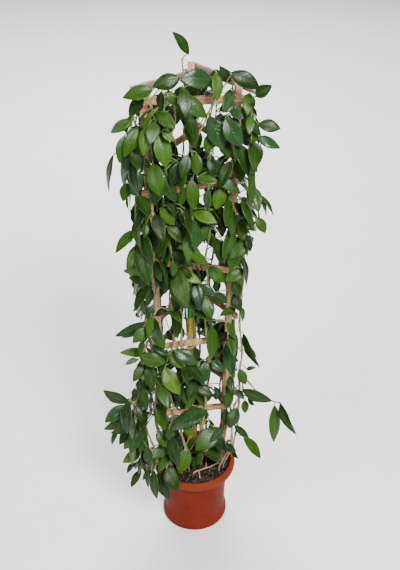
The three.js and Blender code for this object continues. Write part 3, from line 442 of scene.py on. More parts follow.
def timber(name, node, material, bow, roughness, seed, stain=lambda height: 0.0):
    """A rounded bar in a node's place, in short lengths that are each a little out of true."""
    middle, (long, wide, thin) = bar_frame(node)
    along, across, deep = long.normalized(), wide.normalized(), thin.normalized()
    if across.cross(deep).dot(along) < 0:
        deep = -deep
    half_wide, half_thin = wide.length / 2, thin.length / 2
    section = []
    for turn in range(4):
        side_wide = half_wide * (1 if turn in (0, 3) else -1)
        side_thin = half_thin * (1 if turn < 2 else -1)
        for step in range(3):
            angle = math.pi / 2 * turn + math.pi / 4 * step
            u = side_wide + EASED_EDGE * (math.cos(angle) - math.copysign(1, side_wide))
            v = side_thin + EASED_EDGE * (math.sin(angle) - math.copysign(1, side_thin))
            section.append((u, v))
    stations = max(3, round(long.length / TIMBER_STEP))
    verts, fibre, stains = [], [], []
    for i in range(stations + 1):
        share = i / stations
        run = (share - 0.5) * long.length
        bend = bow * math.sin(math.pi * share)
        at_end = i in (0, stations)
        for u, v in section:
            rough = roughness * noise.noise(Vector((run * 30, u * 160, v * 160)) + Vector((seed, 0, 0)))
            ragged = RAGGED_END * noise.noise(Vector((seed, u * 500, v * 500))) if at_end else 0
            spot = middle + along * (run + ragged) + across * (u * (1 + rough / half_wide) + bend) + deep * v
            verts.append(spot)
            fibre.append((run + seed, u + 0.37 * seed, v))
            stains.append(stain(spot.z))
    faces = ring_faces(0, len(section), stations)
    return new_piece(name, verts, faces, [material], attributes={"fibre": fibre, "stain": stains})


# Sawn wood's fibres, stretched along the first of the place's three directions.
wood_fibre, given, give = new_group("wood_fibre", [
    ("Vector", "INPUT", "Vector"), ("Pale", "INPUT", "Color"), ("Dark", "INPUT", "Color"),
    ("Color", "OUTPUT", "Color"), ("Height", "OUTPUT", "Float"),
])
stretched, fine, knotty = (
    place(wood_fibre, "ShaderNodeMapping", {"Vector": given["Vector"], "Scale": scale}).outputs[0]
    for scale in ((9, 230, 230), (60, 1900, 1900), (11, 55, 55))
)
bands = spread(wood_fibre, noise_at(wood_fibre, stretched, 1.0, 5, Distortion=0.6), 0.32, 0.68, 0, 0.65)
knots = place(wood_fibre, "ShaderNodeTexVoronoi", {"Vector": knotty, "Scale": 1.0}).outputs["Distance"]
grain = calculate(wood_fibre, "MULTIPLY_ADD", noise_at(wood_fibre, fine, 1.0, 3), 0.4, bands)
dark_grain, knot = spread(wood_fibre, grain, 0.3, 0.85), spread(wood_fibre, knots, 0.02, 0.16, 0.75, 0)
dark_share = calculate(wood_fibre, "ADD", dark_grain, knot, clamp=True)
give("Color", mixed(wood_fibre, dark_share, given["Pale"], given["Dark"]))
give("Height", calculate(wood_fibre, "SUBTRACT", 1.0, dark_share))


def attribute(tree, name, output):
    return place(tree, "ShaderNodeAttribute", {}, attribute_name=name).outputs[output]


def wood_material(name, pale, dark, stain_colour):
    material, tree, shader = new_material(name)
    fibre = attribute(tree, "fibre", "Vector")
    fibres = use_group(tree, wood_fibre, {"Vector": fibre, "Pale": (*pale, 1), "Dark": (*dark, 1)})
    weather = noise_at(tree, fibre, 22, 5)
    greyed = mixed(tree, spread(tree, weather, 0.5, 0.75, 0, 0.35), fibres["Color"], (0.3, 0.24, 0.19))
    uneven = spread(tree, weather, 0.3, 0.55, 0.55, 1)
    soaked = calculate(tree, "MULTIPLY", attribute(tree, "stain", "Fac"), uneven)
    dusty = dusted(tree, own_place(tree), mixed(tree, soaked, greyed, stain_colour), (0.34, 0.28, 0.22), 0.25)
    fill(tree, shader, {
        "Base Color": dusty["Color"], "Roughness": spread(tree, fibres["Height"], 0, 1, 0.82, 0.66),
    })
    bumped(tree, shader, fibres["Height"], 0.0005)
    return material


tan_wood = wood_material("sawn_tan_wood", (0.6, 0.38, 0.2), (0.34, 0.18, 0.085), (0.26, 0.1, 0.055))
orange_wood = wood_material("sawn_orange_wood", (0.6, 0.33, 0.15), (0.34, 0.15, 0.055), (0.24, 0.08, 0.04))
grey_wood = wood_material("weathered_grey_wood", (0.36, 0.27, 0.22), (0.1, 0.065, 0.05), (0.3, 0.17, 0.13))


def low_stain(height):
    """Full up to 0.42 m, and gone 60 mm above that."""
    return max(0.0, min(1.0, (0.48 - height) / 0.06))


for i, (side, bow) in enumerate(POST_BOWS.items()):
    stain = low_stain if side == "right" else (lambda height: 0.35 * low_stain(height))
    post = timber(f"tower_post_{side}", f"post_{side}", tan_wood, bow, 0.0006, 1.7 * i, stain)
    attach(post, "root")
    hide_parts(f"post_{side}")

# ---------------------------------------------------------------------------------------------------
# Slats of split wood lie across the outside of the posts, five on each side of the tower. Their ends are
# broken rather than sawn, and the upper ones are weathered grey or orange.

SLAT_WOOD = {
    "front_1": orange_wood, "front_3": orange_wood, "front_4": orange_wood, "right_5": grey_wood,
    "left_5": grey_wood, "left_3": orange_wood, "right_2": orange_wood,
}

for i, side in enumerate(("front", "right", "left")):
    for level in range(1, 6):
        key = f"{side}_{level}"
        bow = 0.0009 * math.sin(3.1 * i + 1.3 * level)
        wood, seed = SLAT_WOOD.get(key, tan_wood), 9.1 + 2.3 * i + level
        slat = timber(f"tower_slat_{key}", f"slat_{key}", wood, bow, 0.0022, seed)
        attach(slat, "root")
        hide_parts(f"slat_{key}")

# ---------------------------------------------------------------------------------------------------
# Ties of pink and red string, eight in all. Each is wound round its post four times and knotted in front,
# with two loose ends.

STRING_RADIUS = 0.00085
STRING_SIDES = 8
TIE_TURNS = 4
TURN_STEPS = 28
TIE_HALF_SIDE = 0.0086
TIE_CLIMB = 0.0048
KNOT_OFF = 0.0018
KNOT_STEPS = 20  # for one time round the knot, which is gone round one and a half times
TAIL_STEPS = 8
# Each tie's post and its height in millimetres.
TIES = {
    "tie_left_1": ("left", 958), "tie_left_2": ("left", 1208), "tie_right_1": ("right", 407),
    "tie_right_2": ("right", 884), "tie_right_3": ("right", 1008), "tie_right_4": ("right", 1203),
    "tie_back_1": ("back", 640), "tie_back_2": ("back", 1195),
}


def tube(points, radii, sides, verts, faces):
    """Adds a round closed tube along the points, and returns each new vertex's share of its length."""
    points = [Vector(p) for p in points]
    start = len(verts)
    across = None
    shares = []
    for i, point in enumerate(points):
        along = (points[min(i + 1, len(points) - 1)] - points[max(i - 1, 0)]).normalized()
        if across is None:
            across = along.orthogonal().normalized()
        across = (across - along * across.dot(along)).normalized()
        deep = along.cross(across)
        for k in range(sides):
            angle = 2 * math.pi * k / sides
            verts.append(point + radii[i] * (math.cos(angle) * across + math.sin(angle) * deep))
            shares.append(i / (len(points) - 1))
    faces += ring_faces(start, sides, len(points) - 1)
    return shares


def ramp(tree, value, stops, interpolation="LINEAR"):
    """Colours along a value, from stops of (position, colour)."""
    node = place(tree, "ShaderNodeValToRGB", {0: value})
    node.color_ramp.interpolation = interpolation
    elements = node.color_ramp.elements
    while len(elements) < len(stops):
        elements.new(0.5)
    for element, (position, colour) in zip(elements, stops):
        element.position = position
        element.color = (*colour, 1)
    return node.outputs["Color"]


string_material, tree, shader = new_material("twisted_string")
turns = calculate(tree, "MULTIPLY", attribute(tree, "run", "Fac"), 900.0)
ply = spread(tree, calculate(tree, "PINGPONG", turns, 0.5), 0, 0.5, 0.4, 1.4)
fluff = calculate(tree, "MULTIPLY", noise_at(tree, own_place(tree), 900, 3), ply)
pink = ramp(tree, fluff, [(0.15, (0.4, 0.02, 0.05)), (0.45, (0.8, 0.09, 0.14)), (0.8, (0.95, 0.4, 0.45))])
fill(tree, shader, {"Base Color": pink, "Roughness": 0.85, "Sheen Weight": 0.3})
bumped(tree, shader, fluff, 0.0003)

for number, (node, (side, height)) in enumerate(TIES.items()):
    middle, (long, wide, thin) = bar_frame(f"post_{side}")
    along = long.normalized() * math.copysign(1, long.z)
    centre = middle + along * ((height * MM - middle.z) / along.z)
    forward = min((wide, thin, -wide, -thin), key=lambda way: way.y).normalized()
    sideways = along.cross(forward)
    draw = random.Random(50 + number)
    path = []
    for step in range(TIE_TURNS * TURN_STEPS + 1):
        angle = 2 * math.pi * step / TURN_STEPS
        c, s = math.cos(angle), math.sin(angle)
        reach = TIE_HALF_SIDE / (abs(c) ** 10 + abs(s) ** 10) ** 0.1
        climb = (step / (TIE_TURNS * TURN_STEPS) - 0.5) * TIE_CLIMB + 0.0006 * math.sin(angle * 1.5 + number)
        path.append(centre + forward * reach * c + sideways * reach * s + along * climb)
    verts, faces = [], []
    shares = tube(path, [STRING_RADIUS] * len(path), STRING_SIDES, verts, faces)
    step_length = (path[1] - path[0]).length
    runs = [share * step_length * len(path) for share in shares]
    knot_at = centre + forward * (TIE_HALF_SIDE + KNOT_OFF)
    loop = []
    for step in range(3 * KNOT_STEPS // 2 + 1):
        angle = 2 * math.pi * step / KNOT_STEPS
        loop.append(knot_at + sideways * 0.0022 * math.sin(2 * angle) + along * 0.0026 * math.cos(angle)
                    + forward * 0.0011 * math.sin(3 * angle))
    shares = tube(loop, [STRING_RADIUS] * len(loop), STRING_SIDES, verts, faces)
    runs += [share * 0.03 for share in shares]
    for hand in (-1, 1):
        length = draw.uniform(0.006, 0.0095)
        tail = []
        for share in (step / TAIL_STEPS for step in range(TAIL_STEPS + 1)):
            drop = length * share * (0.5 + 0.5 * share)
            tail.append(knot_at + sideways * hand * 0.0055 * math.sin(1.5 * share) - along * drop * 0.55
                        - forward * 0.0006 * share)
        thinner = [STRING_RADIUS * (1 - 0.25 * k / TAIL_STEPS) for k in range(TAIL_STEPS + 1)]
        runs += [share * length for share in tube(tail, thinner, STRING_SIDES, verts, faces)]
    tie = new_piece(f"string_{node}", verts, faces, [string_material], attributes={"run": runs})
    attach(tie, "root")
    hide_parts(node)

# ---------------------------------------------------------------------------------------------------
# A painted bamboo cane stands behind the front stems. It swells a little at each joint, and bands of
# yellow and green paint run round it, with a pale ring half way up.

CANE_FOOT = Vector((-0.011, 0.008, 0.03))
CANE_TOP = Vector((-0.009, 0.03, 0.96))
CANE_RADIUS = 0.008
CANE_JOINT = 0.122
CANE_RING = 0.0009
CANE_STATIONS = 190
# Each band's lower end, in metres above the floor, and its colour.
CANE_BANDS = [
    (0.0, (0.05, 0.2, 0.02)), (0.212, (0.03, 0.26, 0.02)), (0.25, (0.42, 0.4, 0.02)),
    (0.33, (0.05, 0.2, 0.02)), (0.46, (0.5, 0.44, 0.02)), (0.568, (0.62, 0.58, 0.4)),
    (0.584, (0.86, 0.72, 0.01)), (0.638, (0.015, 0.52, 0.03)), (0.73, (0.86, 0.7, 0.01)),
    (0.866, (0.03, 0.4, 0.02)),
]
cane_material, tree, shader = new_material("painted_cane")
where = own_place(tree)
height = split(tree, where)["Z"]
lower = calculate(tree, "SUBTRACT", height, 0.003)
uneven = calculate(tree, "MULTIPLY_ADD", noise_at(tree, where, 120, 2), 0.006, lower)
bands = ramp(tree, uneven, CANE_BANDS, "CONSTANT")
streaks = place(tree, "ShaderNodeMapping", {"Vector": where, "Scale": (700, 700, 18)}).outputs[0]
streak = noise_at(tree, streaks, 1, 5)
paint = mixed(tree, spread(tree, streak, 0.64, 0.74, 0, 0.5), bands, (0.5, 0.38, 0.2))
dusty = dusted(tree, where, paint, (0.4, 0.36, 0.3), 0.06)
wear_and_painted_highlight = spread(tree, streak, 0.3, 0.7, 0.28, 0.5)
fill(tree, shader, {"Base Color": dusty["Color"], "Roughness": wear_and_painted_highlight, "Coat Weight": 0.25})
bumped(tree, shader, streak, 0.0002)

cane_way = CANE_TOP - CANE_FOOT
path, radii = [], []
for i in range(CANE_STATIONS + 1):
    run = cane_way.length * i / CANE_STATIONS
    past_joint = (run + CANE_JOINT / 2) % CANE_JOINT - CANE_JOINT / 2
    at_joint = CANE_JOINT / 2 < run < cane_way.length - 0.03
    ring = CANE_RING * math.exp(-(past_joint / 0.0022) ** 2) if at_joint else 0
    pinch = -0.0003 * math.exp(-((past_joint - 0.004) / 0.0025) ** 2)
    path.append(CANE_FOOT + cane_way * (i / CANE_STATIONS))
    radii.append(CANE_RADIUS - CANE_RING + ring + pinch)
verts, faces = [], []
tube(path, radii, 28, verts, faces)
cane = new_piece("bamboo_cane", verts, faces, [cane_material])
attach(cane, "root")
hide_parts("cane")

# ---------------------------------------------------------------------------------------------------
# Bare stems, old and woody, lie across the soil. Two run from one hole to another or to a cut end, and a
# short one forks off. They are round, peeling and a little crooked.

# Each stem's places, as [x, y, height over the soil].
BARE_STEMS = [
    [
        [-2, -50, -9], [-2, -50, 9], [9, -44, 9], [20, -39, 9], [42, -28, 8], [60, -16, 8], [68, -12, 8],
        [68, -12, -9],
    ],
    [[29, 24, -9], [29, 24, 9], [31, 6, 9], [32, -9, 9], [31, -33, 9]],
    [[12, -44, 9], [14, -58, 7], [15, -68, 6]],
]
BARE_RADIUS = 2.0
SOIL_LEVEL = 176


def along_line(a, b, step):
    """Even places from a to b, no more than a step apart."""
    count = max(1, math.ceil(np.linalg.norm(b - a) / step))
    return [a + (b - a) * (i / count) for i in range(count + 1)]


def softened(points, step, window):
    """Places every step along a line of straight stretches, with its corners rounded off."""
    fine = [points[0]]
    for a, b in zip(points, points[1:]):
        fine += along_line(a, b, step)[1:]
    fine = np.array(fine)
    padded = np.vstack([fine[:1]] * window + [fine] + [fine[-1:]] * window)
    weights = np.hanning(2 * window + 3)[1:-1]
    smooth = sum(w * padded[k:k + len(fine)] for k, w in enumerate(weights)) / weights.sum()
    smooth[0], smooth[-1] = fine[0], fine[-1]
    return smooth


woody_stem, tree, shader = new_material("woody_stem")
where = own_place(tree)
tone = mottled(tree, where, 70, (0.2, 0.125, 0.065), (0.46, 0.35, 0.2))
scar = calculate(tree, "PINGPONG", calculate(tree, "MULTIPLY", attribute(tree, "run", "Fac"), 55.0), 0.5)
scarred = calculate(tree, "MULTIPLY", spread(tree, scar, 0.0, 0.07, 1, 0), 0.6)
fill(tree, shader, {"Base Color": mixed(tree, scarred, tone["Color"], (0.16, 0.09, 0.05)), "Roughness": 0.75})
bumped(tree, shader, calculate(tree, "SUBTRACT", noise_at(tree, where, 210, 6), scarred), 0.0005)

verts, faces, runs = [], [], []
for places in BARE_STEMS:
    middle_line = softened(np.array([[x, y, SOIL_LEVEL + z] for x, y, z in places], float), 1.6, 3)
    radii = []
    for i, point in enumerate(middle_line):
        knobbly = 0.35 * noise.noise(Vector(point) * 0.12) + 0.3 * math.exp(-((i % 14 - 7) / 1.4) ** 2)
        radii.append((BARE_RADIUS + knobbly) * MM)
    shares = tube(middle_line * MM, radii, 12, verts, faces)
    runs += [share * len(middle_line) * 0.0016 for share in shares]
bare = new_piece("bare_woody_stems", verts, faces, [woody_stem], attributes={"run": runs})
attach(bare, "root")
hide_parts("bare_stems")

# ---------------------------------------------------------------------------------------------------
# Seventeen leafy stems climb from the soil, nine up the front of the tower and eight round its sides and
# back, with thick, glossy, pointed leaves on short stalks. Places are in millimetres. A stem is moved out
# until it is clear of the rest, and a leaf is turned and shortened until it is, or left off.

EYE = np.array([15.0, -1700.0, 1831.0])
TOWER_TOP = 1234
FACE_DEPTH = 25
POST_LINES = {
    "left": ((-75, -14), (-101, -58)),
    "right": ((74.4, 8.6), (92, -48)),
    "back": ((0, 76), (-4, 104)),
}
POST_BOTTOM = 96
POST_TOPS = {"left": 1252, "right": 1257, "back": 1250}
WOOD_CLEARANCE = 10
STEM_CLEARANCE = 3.6
LEAF_CLEARANCE = 4.6
OWN_SHARE = 0.8
POT_RIM_RADIUS = 110
POT_RIM_TOP = 195
POT_INSIDE = 88


def post_at(side, z):
    """The middle of a post at a height, which may be an array."""
    foot, top = POST_LINES[side]
    share = (z - SOIL_LEVEL) / (TOWER_TOP - SOIL_LEVEL)
    return np.array([foot[0] + (top[0] - foot[0]) * share, foot[1] + (top[1] - foot[1]) * share, z])


def axis_at(z):
    return (post_at("left", z) + post_at("right", z) + post_at("back", z)) / 3


def unit(vector):
    return vector / np.linalg.norm(vector)


def level_unit(vector):
    return unit(np.array([vector[0], vector[1], 0.0]))


def turned_about(vector, axis, angle):
    c, s = math.cos(angle), math.sin(angle)
    return vector * c + np.cross(axis, vector) * s + axis * np.dot(axis, vector) * (1 - c)


def even_numbers(seed):
    """Numbers from 0 to 1, the same on every run."""
    while True:
        seed = (seed * 1664525 + 1013904223) & 0xFFFFFFFF
        yield seed / 4294967296


shares_drawn = even_numbers(20)
taken = []  # (owner, kind, clearance, places) of all that is in the way, in short stretches
taken_balls = np.zeros((0, 4))  # the middle and reach of each
STRETCH = 14


def take_room(owner, kind, clearance, places):
    global taken_balls
    places = np.array(places)
    for start in range(0, len(places), STRETCH):
        stretch = places[start:start + STRETCH]
        middle = stretch.mean(axis=0)
        reach = np.linalg.norm(stretch - middle, axis=1).max()
        taken.append((owner, kind, clearance, stretch))
        taken_balls = np.vstack([taken_balls, [*middle, reach]])


def meets_others(owner, kind, clearance, places, snug=1.0, near=slice(None)):
    """Whether the places come too close to anything that has taken its room, or to the near ones of it."""
    middle = places[len(places) // 2]
    reach = np.linalg.norm(places - middle, axis=1).max()
    balls = taken_balls[near]
    spaces = np.linalg.norm(balls[:, :3] - middle, axis=1) - balls[:, 3] - reach
    others, least, let_off = [], [], []
    for index in np.nonzero(spaces <= clearance + WOOD_CLEARANCE + 4)[0]:
        taken_at = index if isinstance(near, slice) else near[index]
        other, other_kind, other_clearance, other_places = taken[taken_at]
        own = other == owner
        apart = (clearance + other_clearance) * (OWN_SHARE if own else 1)
        apart *= max(snug, 0.75) if other_kind == "wood" else snug
        if spaces[index] > apart or (own and kind == "stem"):
            continue
        others.append(other_places)
        least.append(apart)
        let_off.append(own and other_kind == "stem")
    if not others:
        return False
    counts = [len(stretch) for stretch in others]
    others, least = np.concatenate(others), np.repeat(least, counts)
    close = ((places[:, None] - others[None]) ** 2).sum(axis=2) < least * least
    # A leaf starts at its own stem, so its inner part is let off there.
    close[:int(len(places) * 0.3), np.repeat(let_off, counts)] = False
    return bool(close.any())


# The space that leaves keep over the floor and the soil, outside the rim and over it.
FLOOR_SPACE = 6
SOIL_SPACE = 7
RIM_SPACE = 4
OVER_RIM = 5


def meets_pot(places):
    radius, z = np.hypot(places[:, 0], places[:, 1]), places[:, 2]
    outside = radius > POT_RIM_RADIUS + RIM_SPACE
    inside = (radius < POT_INSIDE) & (z > SOIL_LEVEL + SOIL_SPACE)
    at_pot = (z <= POT_RIM_TOP + OVER_RIM) & ~outside & ~inside
    return bool(((z < FLOOR_SPACE) | at_pot).any())


def front_depth(x, z):
    """How far back the front of the stems lies at x and z, which may be arrays."""
    left_x, left_y, _ = post_at("left", z)
    right_x, right_y, _ = post_at("right", z)
    across = np.clip((x - left_x) / (right_x - left_x), -0.6, 1.6)
    return left_y + (right_y - left_y) * across - FACE_DEPTH


def front_place(x, z, out):
    """A place on the front of the tower, moved towards the eye."""
    y = front_depth(x, z)
    nearer = (y - out - EYE[1]) / (y - EYE[1])
    return (np.array([x, y, z]) - EYE) * nearer + EYE


FIRST_DEPTH = -70.0


def covered_places(places):
    """The front places, as [x, z], that places cover as seen from the eye."""
    depth = np.full(len(places), FIRST_DEPTH)
    for _ in range(3):
        share = (depth - EYE[1]) / (places[:, 1] - EYE[1])
        seen = (places - EYE) * share[:, None] + EYE
        depth = front_depth(seen[:, 0], seen[:, 2])
    return seen[:, [0, 2]]


# Gaps on the front, each a slot with round ends as [x, z, x, z, radius]. The room shows through most of
# them, and the painted cane and a slat through the last two.
SEE_THROUGH = [
    [42, 1214, 40, 1204, 8], [-25, 1166, -18, 1118, 9], [31, 1162, 25, 1138, 6], [47, 1117, 47, 1114, 7],
    [16, 1030, 16, 1004, 5], [28, 882, 46, 848, 11], [32, 790, 36, 785, 9], [71, 772, 71, 762, 9],
    [58, 730, 62, 695, 14], [-85, 775, -86, 742, 6], [-61, 752, -68, 738, 8], [-98, 725, -106, 708, 7],
    [-58, 690, -67, 665, 10], [-130, 684, -132, 676, 6], [25, 600, 27, 580, 12], [-54, 530, -54, 525, 7],
    [46, 498, 64, 478, 13], [-101, 362, -95, 288, 13], [48, 400, 66, 350, 17], [-60, 390, -38, 392, 8],
    [103, 700, 103, 685, 8], [109, 494, 109, 486, 10], [-14, 708, -10, 628, 9], [-62, 612, 24, 619, 8],
]
# How far the leaves reach to the left and right of the tower, as [z, left, right].
SPREAD_OF_LEAVES = [
    [150, -150, 60], [200, -165, 70], [250, -180, 78], [300, -190, 80], [350, -212, 85],
    [400, -200, 100], [450, -165, 112], [500, -142, 112], [550, -142, 108], [600, -138, 108],
    [650, -130, 104], [700, -142, 106], [750, -138, 112], [800, -142, 120], [850, -150, 122],
    [900, -138, 134], [950, -130, 150], [1000, -142, 142], [1050, -150, 134], [1100, -152, 140],
    [1150, -148, 142], [1200, -132, 130], [1250, -128, 134], [1290, -62, 78], [1300, -20, 40],
]


def inside_spread(seen):
    x, z = seen[:, 0], seen[:, 1]
    heights, lefts, rights = np.array(SPREAD_OF_LEAVES, float).T
    left, right = np.interp(z, heights, lefts), np.interp(z, heights, rights)
    return bool(((z <= heights[-1]) & (x > left) & (x < right)).all())


def inside_gap(seen, slots=SEE_THROUGH, ease=1.0):
    x1, z1, x2, z2, radius = np.array(slots, float).T
    way_x, way_z = x2 - x1, z2 - z1
    from_x, from_z = seen[:, :1] - x1, seen[:, 1:] - z1
    near = np.clip((from_x * way_x + from_z * way_z) / (way_x ** 2 + way_z ** 2), 0, 1)
    return bool((np.hypot(from_x - near * way_x, from_z - near * way_z) < radius * ease).any())


def leaf_form(root, base, tip, width, roll, arch, facing):
    """A leaf's form: its stalk from root to base, and its blade on an arch from base to tip."""
    forward = unit(tip - base)
    normal = turned_about(unit(facing - forward * np.dot(facing, forward)), forward, roll)
    return {
        "root": root, "base": base, "tip": tip, "width": width, "normal": normal,
        "side": unit(np.cross(forward, normal)),
        "top": (base + tip) / 2 + normal * arch * np.linalg.norm(tip - base),
    }


def middle_of(leaf, t):
    return (1 - t) ** 2 * leaf["base"] + 2 * t * (1 - t) * leaf["top"] + t * t * leaf["tip"]


def half_width(leaf, t):
    """Half a blade's width: widest a little before its middle, and pointed."""
    return leaf["width"] / 2 * np.sin(np.pi * t ** 0.86) ** 0.85


LEAF_ROWS = 8
BROAD_FROM = 12
BROAD_ROW = (-0.9, -0.45, 0, 0.45, 0.9)
SLIM_ROW = (-0.8, 0, 0.8)


def leaf_places(leaf):
    """Places all over a leaf, from its stalk to its tip."""
    stalk = along_line(leaf["root"] + (leaf["base"] - leaf["root"]) * 0.5, leaf["base"], 8)
    t = np.arange(1, LEAF_ROWS + 1) / LEAF_ROWS
    half = half_width(leaf, t)
    half[-1] = 0
    columns = [BROAD_ROW if h > BROAD_FROM else SLIM_ROW for h in half]
    rows = np.repeat(np.arange(LEAF_ROWS), [len(c) for c in columns])
    across = half[rows] * np.concatenate(columns)
    return np.concatenate([stalk, middle_of(leaf, t[:, None])[rows] + leaf["side"] * across[:, None]])


def nearest_on(trail, target):
    best, least = None, math.inf
    for a, b in zip(trail, trail[1:]):
        share = min(1.0, max(0.0, np.dot(b - a, target - a) / np.dot(b - a, b - a)))
        near = a + (b - a) * share
        distance = np.linalg.norm(near - target)
        if distance < least:
            best, least = near, distance
    return best


TRAIL_ROUNDS = 14
TRAIL_PUSH = 4


def cleared_trail(name, points):
    """Moves a stem's points outwards until it is clear of wood and other stems, and takes its room."""
    for _ in range(TRAIL_ROUNDS):
        moved = False
        for i in range(2, len(points)):
            before = along_line(points[i - 1], points[i], 6)
            ahead = along_line(points[i], points[i + 1], 6) if i + 1 < len(points) else []
            near = before[len(before) // 2:] + (ahead[:len(ahead) // 2 + 1] if ahead else [])
            if not meets_others(name, "stem", STEM_CLEARANCE, np.array(near)):
                continue
            points[i] = points[i] + TRAIL_PUSH * level_unit(points[i] - axis_at(points[i][2]))
            moved = True
        if not moved:
            break
    places = []
    for a, b in zip(points, points[1:]):
        places += along_line(a, b, 8)
    take_room(name, "stem", STEM_CLEARANCE, places)
    return points


def out_of_soil(x, y):
    """A stem's first two places, in its hole and just over the soil."""
    return [np.array([x, y, SOIL_LEVEL - 9.0]), np.array([x, y, SOIL_LEVEL + 12.0])]


def front_stem(name, stem):
    points = out_of_soil(*stem["soil"])
    for i, (x, z) in enumerate(stem["trail"]):
        points.append(front_place(x, z, stem.get("out", 3) + 4 * math.sin(1.7 * i)))
    return cleared_trail(name, points)


def round_place(turn, z, out):
    """A place round the sides and back of the tower, by the count of its faces from the right post."""
    corners = ("right", "back", "left")
    face = 0 if turn < 1 else 1
    a, b = post_at(corners[face], z), post_at(corners[face + 1], z)
    along = unit(b - a)
    normal = np.array([along[1], -along[0], 0.0])
    here = a + (b - a) * (turn - face)
    away = level_unit(here - axis_at(z))
    return here + away * (out / max(0.66, abs(np.dot(away, normal))))


def back_stem(name, stem):
    hole = round_place(stem["foot"], SOIL_LEVEL, -10)
    points = out_of_soil(hole[0], hole[1])
    points.append(round_place(stem["foot"], SOIL_LEVEL + BEND_HEIGHT, 12))
    phase = next(shares_drawn) * 6
    for z in range(SOIL_LEVEL + FIRST_NODE, stem["top"] + 1, NODE_STEP):
        share = (z - SOIL_LEVEL) / (stem["top"] - SOIL_LEVEL)
        turn = stem["turn"] + stem["drift"] * share + 0.035 * math.sin(z / 60 + phase)
        points.append(round_place(turn, z, FACE_DEPTH + 3 * math.sin(z / 47 + phase)))
    return cleared_trail(name, points)


def leaf_is_clear(owner, places, snug=1.0, near=slice(None)):
    return not meets_pot(places) and not meets_others(owner, "leaf", LEAF_CLEARANCE, places, snug, near)


SLIMMEST_LEAF, WIDEST_LEAF = 22, 44


def front_leaf(name, trail, row):
    """A leaf from its places as seen, moved along the line of sight until it is clear."""
    base_x, base_z, tip_x, tip_z, seen_width = row[:5]
    base_out = row[5] if len(row) > 5 else 4
    drop = base_z - tip_z
    fall = (EYE[2] - base_z) / -EYE[1]
    hang = RISE * fall * drop / (1 + fall * fall) if drop > 0 else 8
    lean = row[6] if len(row) > 6 else base_out + hang + 6 * next(shares_drawn)
    chance = next(shares_drawn)
    for move in MOVES:
        for bend in BENDS:
            base = front_place(base_x, base_z, base_out + move)
            tip = front_place(tip_x, tip_z, lean + move + bend)
            full_width = min(WIDEST_LEAF, max(SLIMMEST_LEAF, 0.42 * np.linalg.norm(tip - base)))
            width = max(seen_width, full_width)
            roll = (-1 if chance < 0.5 else 1) * (0.85 * math.acos(min(1, seen_width / width)) + 0.12)
            root = nearest_on(trail, base + np.array([0, 0, 8]))
            leaf = leaf_form(root, base, tip, width, roll, 0.1 + 0.08 * chance, np.array([0, -0.8, 0.6]))
            if leaf_is_clear(name, leaf_places(leaf)):
                return leaf
    return None


UP = np.array([0, 0, 1.0])
NODE_TRIES = 10
NODE_STALK = 13


def blade_tip(base, heading, size, down):
    """Where a blade ends that leaves its base along a heading and hangs by an angle."""
    return base + heading * (size * math.cos(down)) - np.array([0, 0, size * math.sin(down)])


def node_leaf(name, node, hand):
    """One leaf of a pair, which each try turns, shortens and hangs a little differently."""
    out = level_unit(node - axis_at(node[2]))
    outward = 0.5 + 0.8 * next(shares_drawn)
    length = 66 + 34 * next(shares_drawn)
    hang = 0.5 + 0.75 * next(shares_drawn)
    roll = 0.7 * (next(shares_drawn) - 0.5)
    for attempt in range(NODE_TRIES):
        turn = hand * (outward - 0.28 * attempt + 0.1 * (attempt % 3))
        down = hang + 0.14 * (attempt % 4) - 0.4 * (attempt > 5)
        size = length * (1 - 0.035 * attempt)
        heading = turned_about(out, UP, turn)
        base = node + heading * NODE_STALK + np.array([0, 0, 3])
        tip = blade_tip(base, heading, size, down)
        facing = np.array([0.8 * out[0], 0.8 * out[1], 0.6])
        leaf = leaf_form(node, base, tip, 0.43 * size, roll, 0.15, facing)
        places = leaf_places(leaf)
        seen = covered_places(places)
        if not inside_spread(seen) or inside_gap(seen):
            continue
        if leaf_is_clear(name, places):
            return leaf
    return None


def top_leaf(end):
    base = end + np.array([16, -5, 14])
    tip = base + np.array([-36, -5, 50])
    return leaf_form(end, base, tip, 30, 0.5, 0.1, np.array([0.3, -0.9, 0.3]))


